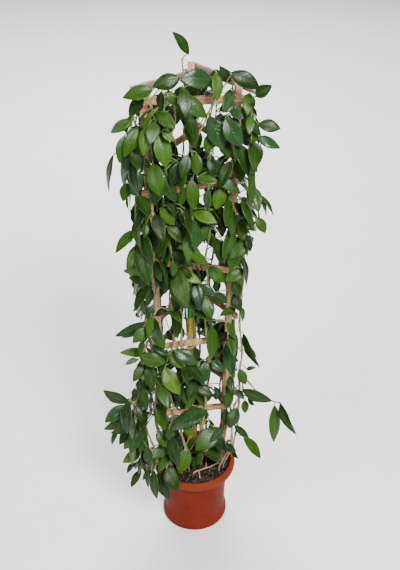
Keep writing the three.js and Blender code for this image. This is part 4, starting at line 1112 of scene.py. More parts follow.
# Front stems: the hole as [x, y], the way up as front places [x, z], and each leaf as [base x, base z,
# tip x, tip z, width as seen], with how far out its base and tip are where it needs a depth of its own.
FRONT_STEMS = {
    "left_low": {
        "soil": [-48, -56],
        "out": 17,
        "trail": [[-78, 232], [-112, 262], [-138, 300], [-146, 360], [-152, 420], [-160, 450]],
        "leaves": [
            [-142, 195, -172, 130, 20], [-125, 192, -140, 152, 14], [-120, 190, -125, 122, 14],
            [-155, 222, -180, 184, 13], [-108, 186, -103, 72, 26, 22, 56],
            [-97, 182, -68, 62, 32, 30, 76], [-140, 265, -190, 225, 30], [-125, 348, -142, 255, 28],
            [-137, 368, -168, 256, 36], [-160, 355, -195, 290, 26], [-196, 345, -215, 290, 13],
            [-158, 370, -216, 332, 24], [-155, 394, -232, 345, 30], [-172, 428, -228, 370, 32],
            [-166, 436, -225, 479, 30],
        ],
    },
    "left_high": {
        "soil": [-64, -42],
        "trail": [
            [-118, 240], [-126, 330], [-122, 420], [-128, 500], [-122, 560], [-120, 640], [-112, 700],
            [-108, 770], [-112, 840], [-116, 910], [-124, 970], [-122, 1040], [-128, 1110], [-124, 1180],
            [-112, 1225],
        ],
        "leaves": [
            [-125, 505, -142, 468, 14], [-120, 556, -150, 503, 26], [-133, 573, -166, 559, 14],
            [-113, 592, -178, 597, 24], [-120, 668, -170, 642, 15], [-114, 684, -186, 648, 20],
            [-95, 797, -138, 716, 26], [-113, 806, -146, 812, 22], [-100, 828, -158, 832, 20],
            [-114, 902, -150, 832, 32], [-122, 936, -172, 878, 26], [-138, 1052, -149, 1008, 24],
            [-110, 1078, -128, 1020, 34], [-163, 1118, -177, 1030, 14], [-138, 1160, -152, 1098, 24],
            [-110, 1178, -142, 1110, 28], [-122, 1195, -166, 1166, 24], [-98, 1243, -127, 1200, 26],
            [-78, 1256, -138, 1240, 32],
        ],
    },
    "left_post": {
        "soil": [-54, -32],
        "trail": [
            [-80, 240], [-94, 310], [-98, 380], [-92, 460], [-96, 540], [-90, 620], [-98, 700], [-84, 780],
            [-92, 850], [-82, 930], [-92, 1010], [-80, 1090], [-90, 1170], [-80, 1215],
        ],
        "leaves": [
            [-70, 272, -115, 234, 30], [-92, 425, -75, 328, 30], [-92, 498, -122, 463, 30],
            [-112, 552, -104, 474, 32], [-108, 668, -146, 624, 28], [-98, 665, -70, 600, 30],
            [-92, 733, -110, 696, 24], [-96, 778, -108, 732, 18], [-95, 868, -135, 842, 28],
            [-88, 945, -82, 872, 26], [-96, 1062, -86, 1020, 18], [-83, 1096, -70, 1017, 40],
            [-90, 1180, -102, 1112, 28], [-74, 1190, -88, 1138, 28], [-72, 1208, -34, 1172, 28],
        ],
    },
    "middle_left": {
        "soil": [-34, -46],
        "trail": [
            [-52, 240], [-64, 320], [-50, 400], [-66, 480], [-72, 545], [-52, 600], [-44, 680], [-56, 760],
            [-44, 840], [-54, 920], [-46, 1000], [-56, 1080], [-48, 1150], [-58, 1210], [-46, 1256],
        ],
        "leaves": [
            [-75, 190, -45, 96, 40, 40, 62], [-95, 332, -74, 268, 28], [-74, 542, -36, 450, 42],
            [-128, 582, -68, 558, 36], [-62, 590, -26, 534, 24], [-48, 802, -25, 725, 36],
            [-47, 876, -1, 834, 32], [-43, 936, -77, 860, 24], [-71, 988, -39, 945, 26],
            [-52, 1008, -39, 970, 20], [-30, 1096, -46, 1040, 26], [-70, 1160, -55, 1083, 38],
            [-62, 1166, -37, 1146, 26], [-49, 1253, -31, 1221, 22], [-25, 1280, -78, 1262, 34],
        ],
    },
    "middle": {
        "soil": [-14, -40],
        "trail": [
            [-22, 240], [-34, 320], [-20, 400], [-14, 480], [-28, 560], [-29, 640], [-30, 720], [-4, 800],
            [-14, 870], [0, 940], [-8, 1010], [4, 1080], [-8, 1150], [-14, 1215], [-20, 1262],
        ],
        "leaves": [
            [-18, 260, -42, 162, 40, 0, 26], [-30, 335, 2, 304, 28], [35, 388, -62, 326, 40],
            [-20, 470, -10, 400, 32], [4, 500, -14, 430, 32], [-47, 592, 9, 544, 36],
            [2, 706, 31, 682, 17], [-4, 752, 15, 708, 24], [-12, 884, 36, 836, 24],
            [-7, 892, -35, 886, 20], [0, 976, 53, 947, 30], [-4, 1056, 1, 980, 30],
            [8, 1116, 8, 1064, 30], [-10, 1114, -24, 1058, 26], [-8, 1186, 4, 1128, 28],
            [-27, 1242, 30, 1194, 36],
        ],
    },
    "middle_right": {
        "soil": [18, -14],
        "trail": [
            [34, 250], [22, 330], [30, 410], [22, 490], [38, 570], [30, 650], [22, 720], [36, 790],
            [24, 850], [38, 920], [26, 990], [40, 1060], [34, 1130], [36, 1200], [50, 1262], [46, 1290],
        ],
        "leaves": [
            [40, 310, 86, 232, 32], [62, 322, 2, 246, 52], [30, 555, 20, 476, 30], [42, 552, 77, 516, 36],
            [26, 748, 43, 684, 34], [13, 782, 50, 757, 24], [34, 832, 72, 786, 36],
            [32, 946, 14, 896, 22], [8, 1058, 56, 1048, 26], [31, 1104, 58, 1062, 28],
            [42, 1162, 27, 1116, 26], [33, 1198, 62, 1122, 40], [50, 1287, 46, 1247, 18],
            [38, 1274, -24, 1276, 42], [78, 1270, 53, 1303, 20],
        ],
    },
    "right_post": {
        "soil": [50, -4],
        "trail": [
            [78, 250], [86, 330], [78, 410], [90, 490], [80, 570], [88, 650], [78, 720], [90, 790],
            [78, 860], [90, 930], [80, 1000], [92, 1070], [82, 1140], [92, 1200], [80, 1255],
        ],
        "leaves": [
            [75, 200, 24, 232, 26], [84, 390, 82, 326, 18], [110, 388, 90, 316, 38],
            [43, 662, 42, 556, 30], [80, 640, 54, 608, 22], [90, 618, 98, 494, 34],
            [99, 707, 61, 690, 20], [98, 752, 110, 700, 24], [91, 790, 109, 742, 26],
            [44, 758, 79, 728, 28], [114, 820, 73, 788, 40], [48, 908, 80, 848, 28],
            [122, 897, 80, 850, 32], [63, 1036, 49, 980, 32], [95, 1100, 101, 1046, 30],
            [60, 1146, 76, 1104, 28], [66, 1194, 102, 1128, 38], [78, 1212, 103, 1190, 28],
            [85, 1228, 53, 1208, 28], [74, 1288, 134, 1254, 32],
        ],
    },
    "right_high": {
        "soil": [78, -20],
        "trail": [
            [104, 250], [112, 330], [116, 410], [112, 490], [118, 560], [112, 640], [108, 710], [116, 790],
            [112, 860], [122, 930], [116, 1000], [124, 1070], [118, 1140], [124, 1190], [112, 1226],
        ],
        "leaves": [
            [100, 234, 119, 198, 14], [82, 262, 112, 222, 22], [105, 326, 146, 271, 20],
            [130, 279, 180, 190, 26], [130, 412, 132, 365, 26], [106, 452, 129, 418, 24],
            [137, 422, 156, 391, 13], [114, 520, 130, 466, 28], [130, 519, 154, 521, 15],
            [122, 593, 154, 555, 20], [119, 634, 164, 520, 15], [113, 713, 116, 670, 13],
            [112, 856, 121, 774, 13], [120, 913, 127, 867, 16], [121, 958, 101, 905, 34],
            [138, 958, 160, 916, 24], [146, 1010, 160, 960, 11], [140, 1014, 175, 960, 11],
            [119, 1038, 143, 970, 32], [117, 1116, 131, 1062, 18], [127, 1138, 141, 1090, 28],
            [133, 1150, 182, 1123, 24], [133, 1178, 180, 1167, 28], [113, 1246, 111, 1198, 32],
            [126, 1238, 158, 1261, 24],
        ],
    },
    "right_arch": {
        "soil": [66, -34],
        "trail": [
            [96, 250], [100, 330], [98, 400], [102, 460], [112, 492], [128, 486], [160, 440], [200, 404],
            [222, 398],
        ],
        "leaves": [
            [207, 390, 212, 254, 32], [222, 386, 233, 330, 20], [222, 398, 272, 282, 20],
            [122, 450, 202, 404, 30],
        ],
    },
}
# How far a front leaf may be moved, and its tip bent, towards the eye, and how far a hanging one comes out.
MOVES = [0, 7, -7, 14, 21, 28, 35, 42, 50, -14, 58, 66]
BENDS = [0, 9, -9, 18]
RISE = 0.72
# Stems round the sides and back. A turn counts faces of the tower from its right post.
BEND_HEIGHT = 38
FIRST_NODE = 66
NODE_STEP = 56
BACK_STEMS = {
    "side_1": {"turn": 0.2, "foot": 0.28, "drift": 0.12, "top": 1215, "leaf_from": 240},
    "side_2": {"turn": 0.46, "foot": 0.46, "drift": -0.14, "top": 1190, "leaf_from": 250},
    "side_3": {"turn": 0.72, "foot": 0.66, "drift": -0.1, "top": 1225, "leaf_from": 240},
    "side_4": {"turn": 0.9, "foot": 0.8, "drift": 0.06, "top": 1190, "leaf_from": 260},
    "side_5": {"turn": 1.1, "foot": 1.22, "drift": 0.04, "top": 1265, "leaf_from": 240},
    "side_6": {"turn": 1.32, "foot": 1.36, "drift": 0.1, "top": 1200, "leaf_from": 250},
    "side_7": {"turn": 1.56, "foot": 1.54, "drift": 0.08, "top": 1215, "leaf_from": 240},
    "side_8": {"turn": 1.8, "foot": 1.72, "drift": 0.06, "top": 1210, "leaf_from": 250},
}
TALLEST = "side_5"
WOOD_STEP = 9

for side, top in POST_TOPS.items():
    middle_line = along_line(post_at(side, POST_BOTTOM), post_at(side, top), WOOD_STEP)
    take_room("wood", "wood", WOOD_CLEARANCE, middle_line)
for side in ("front", "right", "left"):
    for level in range(1, 6):
        corners = {tuple(v.co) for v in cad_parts[f"slat_{side}_{level}"].data.vertices}
        corners = np.array(sorted(corners)) / MM
        ends = corners[:4].mean(axis=0), corners[4:].mean(axis=0)
        take_room("wood", "wood", WOOD_CLEARANCE - 1, along_line(*ends, WOOD_STEP))
for side, height in TIES.values():
    take_room("wood", "wood", WOOD_CLEARANCE + 4, [post_at(side, height + 3), post_at(side, height - 3)])
# The cane's foot and top, in millimetres.
cane_ends = np.array([[-11, 8, 30], [-9, 30, 960]], float)
take_room("wood", "wood", WOOD_CLEARANCE - 1, along_line(*cane_ends, WOOD_STEP))
for places in BARE_STEMS:
    line = [np.array([x, y, SOIL_LEVEL + z], float) for x, y, z in places]
    for a, b in zip(line, line[1:]):
        take_room("bare", "stem", STEM_CLEARANCE, along_line(a, b, 8))

trails = {name: front_stem(name, stem) for name, stem in FRONT_STEMS.items()}
trails.update({name: back_stem(name, stem) for name, stem in BACK_STEMS.items()})
leaves = {name: [] for name in trails}


def keep_leaf(name, leaf):
    if leaf is None:
        return
    take_room(name, "leaf", LEAF_CLEARANCE, leaf_places(leaf))
    leaves[name].append(leaf)


for name, stem in FRONT_STEMS.items():
    for row in stem["leaves"]:
        keep_leaf(name, front_leaf(name, trails[name], row))
in_view = [leaf for listed in leaves.values() for leaf in listed]
for name in FRONT_STEMS:
    for node in trails[name][3:]:
        for hand in (1, -1):
            keep_leaf(name, node_leaf(name, node, hand))
for name, stem in BACK_STEMS.items():
    if name == TALLEST:
        keep_leaf(name, top_leaf(trails[name][-1]))
    for i, node in enumerate(trails[name]):
        if node[2] < stem["leaf_from"]:
            continue
        for hand in (1, -1) if i % 2 else (-1, 1):
            keep_leaf(name, node_leaf(name, node, hand))

# Long thin shoots and old woody stems hang loose in front of the leaves. Each is the radius at its foot and
# at its tip, how green it is, and its way as front places [x, z].
LOOSE_SHOOTS = [
    [2.0, 1.1, 0.15, [
        [10, 1153], [16, 1168], [26, 1188], [30, 1199], [39, 1222], [52, 1246], [66, 1267], [76, 1286],
    ]],
    [1.8, 0.9, 0.25, [[4, 1146], [12, 1176], [22, 1194], [33, 1208], [45, 1232], [58, 1253], [73, 1280]]],
    [1.6, 0.8, 0.1, [[88, 1243], [85, 1256], [82, 1265], [76, 1284]]],
    [1.8, 0.9, 0.2, [[-40, 1163], [-34, 1192], [-36, 1226], [-44, 1248]]],
    [1.8, 0.8, 0.35, [[-90, 1238], [-75, 1261], [-55, 1275], [-28, 1282]]],
    [1.5, 0.8, 0.35, [[-84, 1236], [-63, 1260], [-42, 1263], [-25, 1270]]],
    [1.6, 0.8, 0.2, [[60, 1022], [81, 1020], [96, 1014], [109, 1005], [123, 1001], [134, 988]]],
    [1.5, 0.8, 0.3, [[86, 1010], [86, 1021], [90, 1047], [84, 1070]]],
    [1.5, 0.8, 0.4, [[45, 935], [58, 912], [67, 898], [80, 866]]],
    [2.6, 2.0, 0.0, [
        [-99, 250], [-108, 281], [-119, 325], [-124, 352], [-121, 380], [-99, 412], [-96, 458], [-97, 504],
    ]],
    [2.2, 1.6, 0.0, [[-92, 262], [-93, 290], [-88, 322], [-96, 352], [-100, 392]]],
    [1.5, 0.9, 0.4, [[-60, 238], [-53, 247], [-43, 290], [-32, 330], [-30, 352]]],
    [1.5, 0.9, 0.35, [[-12, 240], [-12, 247], [-4, 266], [3, 278], [14, 313], [18, 373]]],
    [1.5, 0.9, 0.35, [[-30, 244], [-23, 264], [-15, 291], [-10, 318]]],
    [1.4, 0.8, 0.4, [[20, 300], [32, 331], [24, 344], [16, 353]]],
    [1.6, 1.1, 0.15, [[-55, 590], [-50, 606], [-46, 628], [-58, 660], [-66, 690]]],
    [1.4, 0.9, 0.1, [[-26, 596], [-20, 620], [-12, 634], [-8, 660]]],
    [1.4, 0.8, 0.3, [[2, 600], [3, 628], [4, 650], [2, 676]]],
]
SHOOT_CLEARANCE = 1.6
SHOOT_OUTS = range(2, 74, 6)
SMOOTHING = [0.1, 0.2, 0.4, 0.2, 0.1]


def loose_line(shoot):
    """A shoot's way, which starts on the nearest stem and keeps in front of whatever is behind it."""
    corners = np.array(shoot[3], float)
    steps = [corners[0]]
    for a, b in zip(corners, corners[1:]):
        steps += along_line(a, b, 7)[1:]
    outs = []
    for x, z in steps:
        for out in SHOOT_OUTS:
            spot = front_place(x, z, out)
            if not meets_others("loose", "leaf", SHOOT_CLEARANCE, spot[None]):
                break
        outs.append(out)
    outs = np.convolve(np.pad(outs, 2, "edge"), SMOOTHING, "valid")
    line = [front_place(x, z, out) for (x, z), out in zip(steps, outs)]
    near = min((nearest_on(trail, line[0]) for trail in trails.values()),
               key=lambda place_at: np.linalg.norm(place_at - line[0]))
    return [near] + line


loose_lines = [loose_line(shoot) for shoot in LOOSE_SHOOTS]
for line in loose_lines:
    take_room("loose", "stem", SHOOT_CLEARANCE, line)

# Between the large leaves grow many smaller and younger ones, closer together, from every bud on the way.
# They leave in sight the loose shoots, the soil with the bare stems on it, and the large leaves in front.
BUD_STEP = 15
YOUNG_GAPS = SEE_THROUGH + [[14, 155, 80, 196, 17]]
for shoot in LOOSE_SHOOTS:
    YOUNG_GAPS += [[*a, *b, 2.5] for a, b in zip(shoot[3], shoot[3][1:])]


def seen_ellipse(leaf):
    """What a leaf covers as seen from the eye: the middle, half length, half width and distance."""
    ends = covered_places(np.array([leaf["base"], leaf["tip"]]))
    middle = (leaf["base"] + leaf["tip"]) / 2
    edge = covered_places(np.array([middle, middle + leaf["side"] * leaf["width"] / 2]))
    along = (ends[1] - ends[0]) / 2
    across = edge[1] - edge[0]
    half_length = np.linalg.norm(along)
    half_wide = abs(along[0] * across[1] - along[1] * across[0]) / half_length
    return [*ends.mean(axis=0), *along / half_length, half_length, half_wide, np.linalg.norm(middle - EYE)]


VIEWED = np.array([seen_ellipse(leaf) for leaf in in_view])
MOST_IN_FRONT = 0.15  # of a young leaf's places


def hides_large(places, seen):
    """Whether more than a little of a leaf lies in front of the large front leaves."""
    x, z, along_x, along_z, half_length, half_wide, distance = VIEWED.T
    from_x, from_z = seen[:, :1] - x, seen[:, 1:] - z
    u = (from_x * along_x + from_z * along_z) / half_length
    v = (from_x * along_z - from_z * along_x) / np.maximum(half_wide, 3)
    nearer = np.linalg.norm(places - EYE, axis=1).mean() < distance
    return bool((((u * u + v * v < 1) & nearer).sum(axis=0) > MOST_IN_FRONT * len(places)).any())


BOX_SPARE = 3
LOW_CORNER, HIGH_CORNER = (np.array(corner) * 1000 for corner in cad_box)


def inside_box(places):
    """Whether a leaf keeps within the solids' box, give or take a few millimetres."""
    return bool(((places > LOW_CORNER - BOX_SPARE) & (places < HIGH_CORNER + BOX_SPARE)).all())


# How much further round each try turns a young leaf.
YOUNG_TURNS = (0, 0.5, -0.5, 1.0, -1.0, 1.6, 0.25, -0.25, 2.2)


def young_leaf(name, bud, hand, inward):
    """One leaf at a bud, outwards or inwards, turned and shortened until it is clear and in no gap."""
    out = level_unit(bud - axis_at(bud[2])) * (-1 if inward else 1)
    outward = 0.1 + 1.5 * next(shares_drawn)
    length = 52 + 38 * next(shares_drawn)
    hang = 0.25 + 1.15 * next(shares_drawn) ** 0.7
    stalk = 10 + (45 if inward else 22) * next(shares_drawn) ** (1 if inward else 2)
    roll = 1.5 * (next(shares_drawn) - 0.5)
    distances = np.linalg.norm(taken_balls[:, :3] - bud, axis=1)
    near = np.nonzero(distances < taken_balls[:, 3] + 1.3 * length + stalk)[0]
    for attempt, further in enumerate(YOUNG_TURNS):
        turn = hand * (outward + further)
        down = min(1.5, hang + 0.2 * (attempt % 3))
        size = length * (1 - 0.05 * attempt)
        heading = turned_about(out, UP, turn)
        base = bud + heading * stalk + np.array([0, 0, 0.2 * stalk])
        tip = blade_tip(base, heading, size, down)
        facing = np.array([0.85 * heading[0] + 0.3 * out[0], 0.85 * heading[1] + 0.3 * out[1], 0.55])
        leaf = leaf_form(bud, base, tip, 0.45 * size, roll, 0.14, facing)
        places = leaf_places(leaf)
        if not inside_box(places):
            continue
        seen = covered_places(places)
        if not inside_spread(seen) or inside_gap(seen, YOUNG_GAPS, 1.15) or hides_large(places, seen):
            continue
        if leaf_is_clear(name, places, 0.5, near):
            return leaf
    return None


for inward in (False, True):
    for name, trail in trails.items():
        buds = []
        for a, b in zip(trail[1 if inward else 2:], trail[2 if inward else 3:]):
            buds += along_line(a, b, BUD_STEP)[1:]
        for i, bud in enumerate(buds):
            for hand in (1, -1) if i % 2 else (-1, 1):
                keep_leaf(name, young_leaf(name, bud, hand, inward))

# The leaves of a stem are all one green with many shades: dark old ones, fresh young ones, and pale dull
# undersides. "blade" holds the place on a leaf and "kind" its shade.


def varied(tree, value, cloud, most):
    """The value, moved up or down by a cloud and held from 0 to 1."""
    moved = calculate(tree, "MULTIPLY", calculate(tree, "SUBTRACT", cloud, 0.5), most)
    return calculate(tree, "ADD", value, moved, clamp=True)


leaf_green, tree, shader = new_material("hoya_leaf")
along, sideways, under = split(tree, attribute(tree, "blade", "Vector"))
shade, flecked, chance = split(tree, attribute(tree, "kind", "Vector"))
narrower = calculate(tree, "MULTIPLY", sideways, 0.4)
own_cloud = calculate(tree, "MULTIPLY", chance, 40.0)
leaf_place = place(tree, "ShaderNodeCombineXYZ", {0: along, 1: narrower, 2: own_cloud}).outputs[0]
clouds = noise_at(tree, leaf_place, 3.2, 4, Roughness=0.6)
green = ramp(tree, varied(tree, shade, clouds, 0.3), [
    (0.0, (0.002, 0.009, 0.001)), (0.3, (0.0075, 0.0285, 0.001)), (0.6, (0.0205, 0.0615, 0.0013)),
    (0.85, (0.047, 0.107, 0.0045)), (1.0, (0.102, 0.172, 0.018)),
])
# Side veins slant forwards from the midrib.
from_rib = calculate(tree, "ABSOLUTE", sideways)
forwards = calculate(tree, "MULTIPLY", from_rib, 1.9)
slant = calculate(tree, "SUBTRACT", calculate(tree, "MULTIPLY", along, 8.0), forwards)
wander = calculate(tree, "MULTIPLY_ADD", clouds, 0.5, slant)
vein = spread(tree, calculate(tree, "PINGPONG", wander, 0.5), 0.0, 0.09, 1, 0)
rib = spread(tree, from_rib, 0.01, 0.055, 1, 0)
# A paler band along the leaf's edge is a painted highlight.
painted_edge_highlight = spread(tree, from_rib, 0.93, 1.0)
upper = green
for mark, strength, colour in (
    (vein, 0.14, (0.07, 0.15, 0.02)), (painted_edge_highlight, 0.25, (0.08, 0.12, 0.02)), (rib, 0.3, (0.1, 0.18, 0.03)),
):
    upper = mixed(tree, calculate(tree, "MULTIPLY", mark, strength), upper, colour)
flecks = spread(tree, noise_at(tree, leaf_place, 26, 2), 0.62, 0.7)
silvered = mixed(tree, calculate(tree, "MULTIPLY", flecks, flecked), upper, (0.13, 0.2, 0.09))
# About two leaves in ten get a painted reflection of bluish glare mixed into their colour, and are glossier.
painted_glare = spread(tree, chance, 0.8, 0.95, 0, 0.4)
upper = mixed(tree, painted_glare, silvered, (0.022, 0.06, 0.028))
back_green = mixed(tree, 0.5, green, (0.06, 0.12, 0.025))
lower = mixed(tree, calculate(tree, "MULTIPLY", rib, 0.5), back_green, (0.14, 0.2, 0.06))
dusty = dusted(tree, own_place(tree), mixed(tree, under, upper, lower), (0.16, 0.17, 0.1), 0.1)
dulled = calculate(tree, "MULTIPLY_ADD", under, 0.22, spread(tree, clouds, 0.3, 0.7, 0.24, 0.4))
glossier = calculate(tree, "MULTIPLY_ADD", painted_glare, -0.2, dulled)
fill(tree, shader, {
    "Base Color": dusty["Color"], "Specular IOR Level": 0.2,
    "Roughness": calculate(tree, "MULTIPLY_ADD", dusty["Mask"], 1.2, glossier),
})
sunken = calculate(tree, "MULTIPLY", vein, -0.5)
pits = noise_at(tree, own_place(tree), 800, 2)
bumped(tree, shader, calculate(tree, "MULTIPLY_ADD", pits, 0.25, sunken), 0.0004)

green_stem, tree, shader = new_material("climbing_stem")
where = own_place(tree)
ripe_part = split(tree, attribute(tree, "kind", "Vector"))[0]
ripeness = varied(tree, ripe_part, noise_at(tree, where, 28, 5), 0.8)
skin = ramp(tree, ripeness, [
    (0.0, (0.3, 0.2, 0.115)), (0.35, (0.3, 0.22, 0.09)), (0.6, (0.14, 0.19, 0.05)),
    (1.0, (0.06, 0.16, 0.025)),
])
corky = noise_at(tree, where, 420, 4)
freckled = mixed(tree, spread(tree, corky, 0.58, 0.7, 0, 0.6), skin, (0.2, 0.13, 0.08))
fill(tree, shader, {"Base Color": freckled, "Roughness": spread(tree, ripeness, 0, 1, 0.75, 0.42)})
bumped(tree, shader, corky, 0.0003)

STATIONS = 14
WIDEST = 0.6  # of a blade's length
ACROSS = np.array([-1, -0.84, -0.58, -0.28, 0, 0.28, 0.58, 0.84, 1])


def blade_faces():
    """The faces of a blade: its upper side, its underside, its two edges and its two ends."""
    wide = len(ACROSS)
    count = STATIONS * wide
    listed = []
    for i in range(STATIONS - 1):
        for j in range(wide - 1):
            a, b = i * wide + j, (i + 1) * wide + j
            listed.append((a, a + 1, b + 1, b))
            listed.append((count + a, count + b, count + b + 1, count + a + 1))
        a, b = i * wide, (i + 1) * wide
        listed.append((a, b, count + b, count + a))
        a, b = a + wide - 1, b + wide - 1
        listed.append((a, count + a, count + b, b))
    for j in range(wide - 1):
        listed.append((j, count + j, count + j + 1, j + 1))
        k = (STATIONS - 1) * wide + j
        listed.append((k, k + 1, count + k + 1, count + k))
    return listed


BLADE_FACES = blade_faces()


def blade_skin(leaf, draw):
    """A blade's places, with the share along, the share across and the side of each."""
    even = np.linspace(0, 1, STATIONS)
    t = 0.65 * even + 0.35 * (0.5 - 0.5 * np.cos(np.pi * even))
    length = np.linalg.norm(leaf["tip"] - leaf["base"])
    forward = (leaf["tip"] - leaf["base"]) / length
    slimmer = min(1, WIDEST * length / leaf["width"])
    half = np.maximum(slimmer * half_width(leaf, np.minimum(t, 0.9999)), 1.0 * (1 - t) + 0.22 * t)
    middle = np.array([middle_of(leaf, share) for share in t])
    middle += leaf["side"] * (draw.uniform(-0.11, 0.11) * length * t * (1 - t))[:, None]
    twist = draw.uniform(-0.3, 0.3) * (t - 0.3)
    side = leaf["side"] * np.cos(twist)[:, None] + leaf["normal"] * np.sin(twist)[:, None]
    normal = leaf["normal"] * np.cos(twist)[:, None] - leaf["side"] * np.sin(twist)[:, None]
    fold, curl = draw.uniform(0.02, 0.26), draw.uniform(0.0, 0.22)
    waves, phase, swing = draw.uniform(1.2, 2.4), draw.uniform(0, 6.3), draw.uniform(0.01, 0.055)
    s = ACROSS[None]
    bent = fold * np.abs(s) - curl * np.abs(s) ** 3
    rippled = swing * np.sin(2 * np.pi * waves * t[:, None] + phase + 1.3 * np.sign(s)) * s * s
    quilted = 0.012 * np.sin(2 * np.pi * (8 * t[:, None] - 1.9 * np.abs(s))) * (1 - np.abs(s)) * np.abs(s) * 4
    rise = half[:, None] * (bent + rippled + quilted)
    groove = 0.28 * np.exp(-(s / 0.1) ** 2) * np.minimum(1, half / 5)[:, None]
    thick = (0.3 + 0.32 * (1 - np.abs(s))) * np.minimum(1, 0.55 + half / 14)[:, None]
    spot = middle[:, None] + side[:, None] * (half[:, None] * s)[..., None]
    upper = spot + normal[:, None] * (rise + thick - groove)[..., None]
    lower = spot + normal[:, None] * (rise - thick - 1.3 * groove)[..., None]
    places = np.concatenate([upper.reshape(-1, 3), lower.reshape(-1, 3)])
    on_leaf = np.zeros((len(places), 3))
    on_leaf[:, 0] = np.tile(np.repeat(t, len(ACROSS)), 2)
    on_leaf[:, 1] = np.tile(ACROSS, 2 * STATIONS)
    on_leaf[len(places) // 2:, 2] = 1
    return places, on_leaf


# How the large front leaves look that are told apart at a glance, by their places in each stem's list. A
# look is a shade from 0 to 1, how flecked it is, and its chance of a painted bluish glare. The "blue" look
# is a leaf with the most painted glare.
LOOKS = {
    "dark": (0.12, 0.0, 0.3), "deep": (0.27, 0.0, 0.1), "fresh": (0.55, 0.1, 0.5),
    "bright": (0.72, 0.3, 0.2), "yellow": (0.88, 0.6, 0.4), "blue": (0.36, 0.3, 1.0),
}
LEAF_LOOKS = {
    "left_low": {"deep": [4, 12, 14], "blue": [8, 13, 17], "bright": [6], "dark": [5, 9, 10]},
    "left_high": {
        "deep": [5, 6, 17], "dark": [13], "fresh": [3, 7, 9, 10, 14, 15, 16, 18, 26], "bright": [8],
        "blue": [12],
    },
    "left_post": {"fresh": [0, 1, 4, 5, 11, 14], "deep": [7], "bright": [12]},
    "middle_left": {
        "deep": [0, 6, 14, 20], "yellow": [2, 12], "bright": [4, 8, 11], "fresh": [3, 5, 7, 13],
        "dark": [10],
    },
    "middle": {
        "fresh": [3, 6, 11, 12, 15], "blue": [2, 5], "yellow": [9, 10], "bright": [0, 8],
        "deep": [4, 13, 17, 20],
    },
    "middle_right": {
        "dark": [0, 9], "fresh": [1, 4, 6, 7, 8, 10], "blue": [2, 3, 5, 11, 13], "deep": [14, 16],
        "bright": [18],
    },
    "right_post": {
        "deep": [0, 1, 2, 9], "blue": [5, 16, 17, 18], "fresh": [3, 10, 11, 12], "bright": [13], "dark": [19],
    },
    "right_high": {
        "deep": [0, 2, 10, 20, 22, 24], "dark": [12, 13], "fresh": [3, 4, 7, 14, 15, 26], "bright": [23],
        "blue": [21],
    },
    "right_arch": {"fresh": [0], "dark": [1], "deep": [3]},
}


def look_of(name, number, draw):
    """A leaf's shade, fleck and chance."""
    chance = draw.random()
    shade = draw.gauss(0.34, 0.17) + (0.3 if draw.random() < 0.07 else 0)
    drawn = min(0.95, max(0.02, shade)), draw.random() ** 4, chance
    for look, numbers in LEAF_LOOKS.get(name, {}).items():
        if number in numbers:
            return LOOKS[look]
    return drawn


BLADE_MATERIAL, STEM_MATERIAL = 0, 1
STEM_STEP = 4
TWINE_LEAST = 60  # steps along a stem that a thinner shoot twines round
TWINE_OFF = 3.4
STALK_RADII = [1.5, 1.4, 1.2, 1.12, 1.1, 1.15, 1.2, 0.7]


def add_tube(made, middle_line, radii, sides, ripe_low, ripe_high):
    """Adds a stem to the lists of what is made, with how ripe it is at its foot and at its tip."""
    before = len(made["faces"])
    radii = [float(radius) * MM for radius in radii]
    shares = tube(np.asarray(middle_line) * MM, radii, sides, made["verts"], made["faces"])
    made["blade"] += [(share, 0, 0) for share in shares]
    made["kind"] += [(ripe_low + (ripe_high - ripe_low) * share, 0, 0) for share in shares]
    made["material"] += [STEM_MATERIAL] * (len(made["faces"]) - before)


def twined(middle_line, draw):
    """A thinner shoot's places, wound round a stem."""
    first, last = 14, len(middle_line) - 8
    phase, pitch = draw.uniform(0, 6.3), draw.uniform(120, 180)
    shoot = []
    for i in range(first, last):
        way = unit(middle_line[i + 1] - middle_line[i - 1])
        across = unit(np.cross(way, [0, 1, 0.2]))
        deep = np.cross(way, across)
        angle = phase + 2 * math.pi * (i - first) * STEM_STEP / pitch
        off = TWINE_OFF * min(1, (i - first) / 6, (last - 1 - i) / 6)
        shoot.append(middle_line[i] + off * (across * math.cos(angle) + deep * math.sin(angle)))
    return shoot


def stalk_line(leaf):
    """A leaf stalk's places, from inside the stem to a little way into the blade."""
    root, base = leaf["root"], leaf["base"]
    most = min(4, 0.18 * np.linalg.norm(base - root))
    line = [root - 0.9 * unit(base - root)]
    for share in (0.12, 0.3, 0.5, 0.7, 0.88):
        lift = most * math.sin(math.pi * share)
        line.append(root + (base - root) * share + np.array([0, 0, lift]))
    return line + [base, base + 2.2 * unit(leaf["top"] - base)]


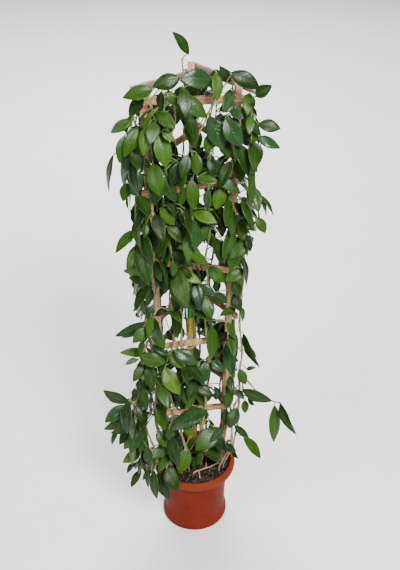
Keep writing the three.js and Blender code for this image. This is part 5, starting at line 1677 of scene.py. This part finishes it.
for number, (name, trail) in enumerate(trails.items()):
    draw = random.Random(300 + number)
    made = {"verts": [], "faces": [], "blade": [], "kind": [], "material": []}
    middle_line = softened(trail, STEM_STEP, 3)
    joints = np.array(trail[2:])
    radii = []
    for i, point in enumerate(middle_line):
        share = i / len(middle_line)
        swelling = 0.55 * math.exp(-(np.linalg.norm(joints - point, axis=1).min() / 4) ** 2)
        radii.append(2.25 - 0.75 * share + swelling + 0.15 * noise.noise(Vector(point) * 0.05))
    add_tube(made, middle_line, radii, 10, 0.05, min(0.95, middle_line[-1][2] / 1300))
    if len(middle_line) > TWINE_LEAST:
        shoot = twined(middle_line, draw)
        add_tube(made, shoot, np.linspace(1.35, 0.8, len(shoot)), 8, 0.3, 1.0)
    for leaf_number, leaf in enumerate(leaves[name]):
        ripe = min(1, 0.3 + 0.6 * leaf["base"][2] / 1200 + draw.uniform(-0.2, 0.2))
        add_tube(made, stalk_line(leaf), STALK_RADII, 8, ripe - 0.1, ripe + 0.2)
        places, on_leaf = blade_skin(leaf, draw)
        start = len(made["verts"])
        made["verts"] += [Vector(spot) for spot in places * MM]
        made["faces"] += [tuple(start + k for k in face) for face in BLADE_FACES]
        made["blade"] += map(tuple, on_leaf)
        made["kind"] += [look_of(name, leaf_number, draw)] * len(places)
        made["material"] += [BLADE_MATERIAL] * len(BLADE_FACES)
    stem = new_piece(f"leafy_stem_{name}", made["verts"], made["faces"], [leaf_green, green_stem], True,
                     made["material"], {"blade": made["blade"], "kind": made["kind"]})
    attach(stem, "root")
    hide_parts(f"stem_{name}")

# The loose shoots, each rounded off and a little thicker at its foot.
verts, faces, kinds = [], [], []
for shoot, line in zip(LOOSE_SHOOTS, loose_lines):
    middle_line = softened(np.array(line), 2.5, 5)
    foot, tip = shoot[:2]
    radii = np.linspace(foot, tip, len(middle_line)) + 0.12 * np.sin(np.arange(len(middle_line)) * 0.9)
    shares = tube(middle_line * MM, [float(r) * MM for r in radii], 8, verts, faces)
    kinds += [(shoot[2] + 0.2 * share, 0, 0) for share in shares]
shoots = new_piece("loose_shoots", verts, faces, [green_stem], attributes={"kind": kinds})
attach(shoots, "root")
